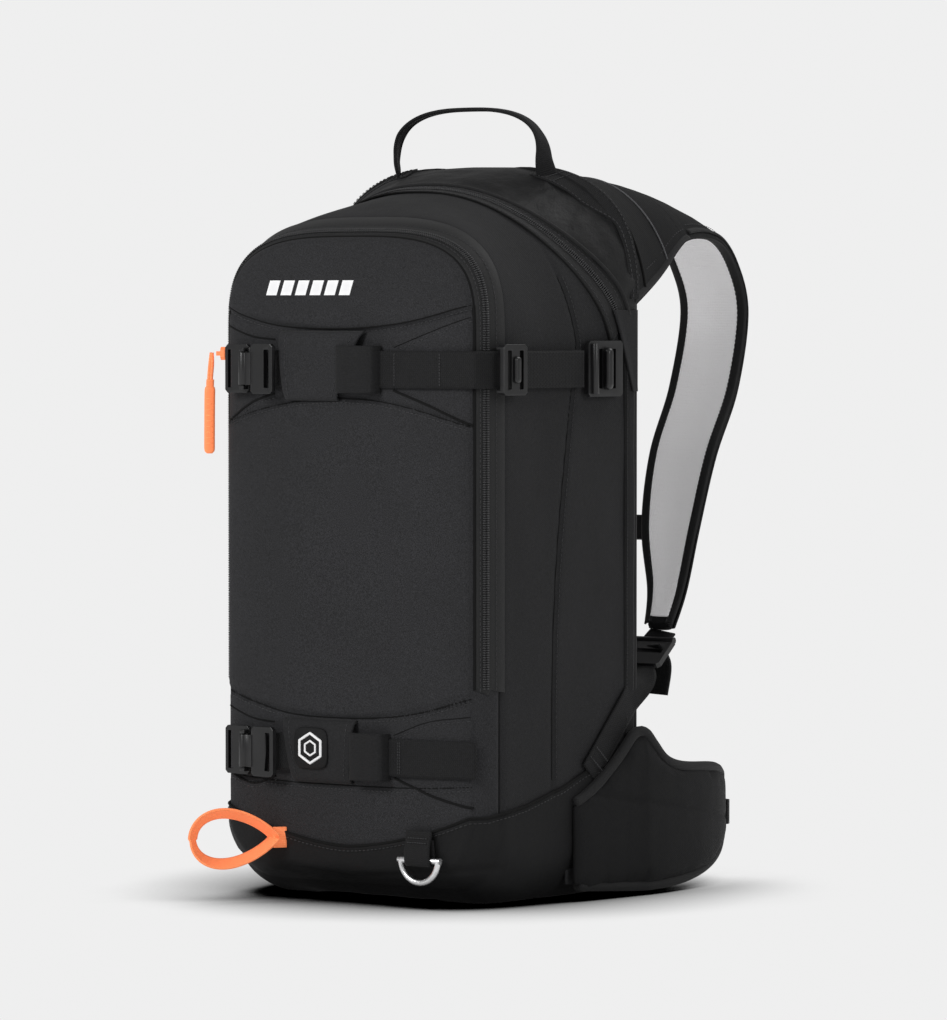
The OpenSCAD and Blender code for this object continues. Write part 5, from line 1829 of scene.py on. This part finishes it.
def finish_node(node, material):
    """Gives a CAD node its material and, unless it is plain sheet or cable, softly rounded edges."""
    obj = bpy.data.objects[node]
    for slot in obj.material_slots:
        slot.material = material
    if node in NOT_BEVELLED:
        return
    weld = obj.modifiers.new("weld", "WELD")
    weld.merge_threshold = 0.02 * MM
    edge = obj.modifiers.new("bevel", "BEVEL")
    edge.width = 0.5 * MM
    edge.segments = 2
    edge.limit_method = "ANGLE"
    edge.angle_limit = math.radians(38)
    edge.use_clamp_overlap = True


for material, nodes in FINISHES:
    for node in nodes.split():
        finish_node(node, material)


# ---------------------------------------------------------------- floor, light and camera

AIM = Vector((29.8, 20.9, 264)) * MM
AZIMUTH = math.radians(35)
ELEVATION = math.radians(2.1)
CAMERA_DISTANCE = 3826 * MM
PALE = 0.862


def look_at(obj, target):
    obj.rotation_mode = "QUATERNION"
    obj.rotation_quaternion = (Vector(target) - obj.location).to_track_quat("-Z", "Y")


def floor_material():
    """Pale studio floor: its tone is even, and a painted contact shadow from ambient occlusion darkens it
    softly where the bag stands.
    """
    mat = bpy.data.materials.new("studio_floor")
    mat.use_nodes = True
    tree = mat.node_tree
    tree.nodes.clear()
    # Painted contact shadow: ambient occlusion near the bag darkens the floor's glow.
    near = tree.nodes.new("ShaderNodeAmbientOcclusion")
    near.inputs["Distance"].default_value = 0.15
    near.samples = 32
    ramp = color_ramp(tree, near.outputs["AO"], (0.0,) * 3, (PALE,) * 3, 0.40, 0.90)
    glow = tree.nodes.new("ShaderNodeEmission")
    out = tree.nodes.new("ShaderNodeOutputMaterial")
    link(tree, ramp, glow.inputs["Color"])
    link(tree, glow.outputs[0], out.inputs["Surface"])
    return mat


floor_mesh = bpy.data.meshes.new("floor")
floor_mesh.from_pydata([(-12, -12, 0), (12, -12, 0), (12, 12, 0), (-12, 12, 0)], [], [(0, 1, 2, 3)])
floor_mesh.materials.append(floor_material())
floor = bpy.data.objects.new("floor", floor_mesh)
floor.location.z = -0.0005
bpy.context.scene.collection.objects.link(floor)

world = bpy.data.worlds.new("studio")
bpy.context.scene.world = world
world.use_nodes = True
sky = world.node_tree
path = sky.nodes.new("ShaderNodeLightPath")
background = sky.nodes["Background"]
background.inputs["Color"].default_value = (1, 1, 1, 1)
link(sky, math_node(sky, "MULTIPLY_ADD", path.outputs["Is Camera Ray"], PALE - 0.27, 0.27),
     background.inputs["Strength"])


def softbox(name, where, size, power):
    light = bpy.data.lights.new(name, "AREA")
    light.shape = "DISK"
    light.size = size
    light.energy = power
    lamp = bpy.data.objects.new(name, light)
    lamp.location = Vector(where)
    look_at(lamp, (0, 0, 0.27))
    bpy.context.scene.collection.objects.link(lamp)


softbox("key", (-0.6, -2.6, 1.7), 1.4, 50)
softbox("side", (2.6, -0.5, 1.3), 1.2, 18)
softbox("top_back", (0.9, 1.7, 2.1), 1.1, 16)

camera_data = bpy.data.cameras.new("camera")
camera_data.lens = 195.7
camera_data.sensor_width = 36
camera = bpy.data.objects.new("camera", camera_data)
camera.location = AIM + CAMERA_DISTANCE * Vector((
    math.sin(AZIMUTH) * math.cos(ELEVATION), -math.cos(AZIMUTH) * math.cos(ELEVATION), math.sin(ELEVATION)))
look_at(camera, AIM)
bpy.context.scene.collection.objects.link(camera)
bpy.context.scene.camera = camera
bpy.context.scene.view_settings.view_transform = "Standard"

bpy.context.view_layer.update()
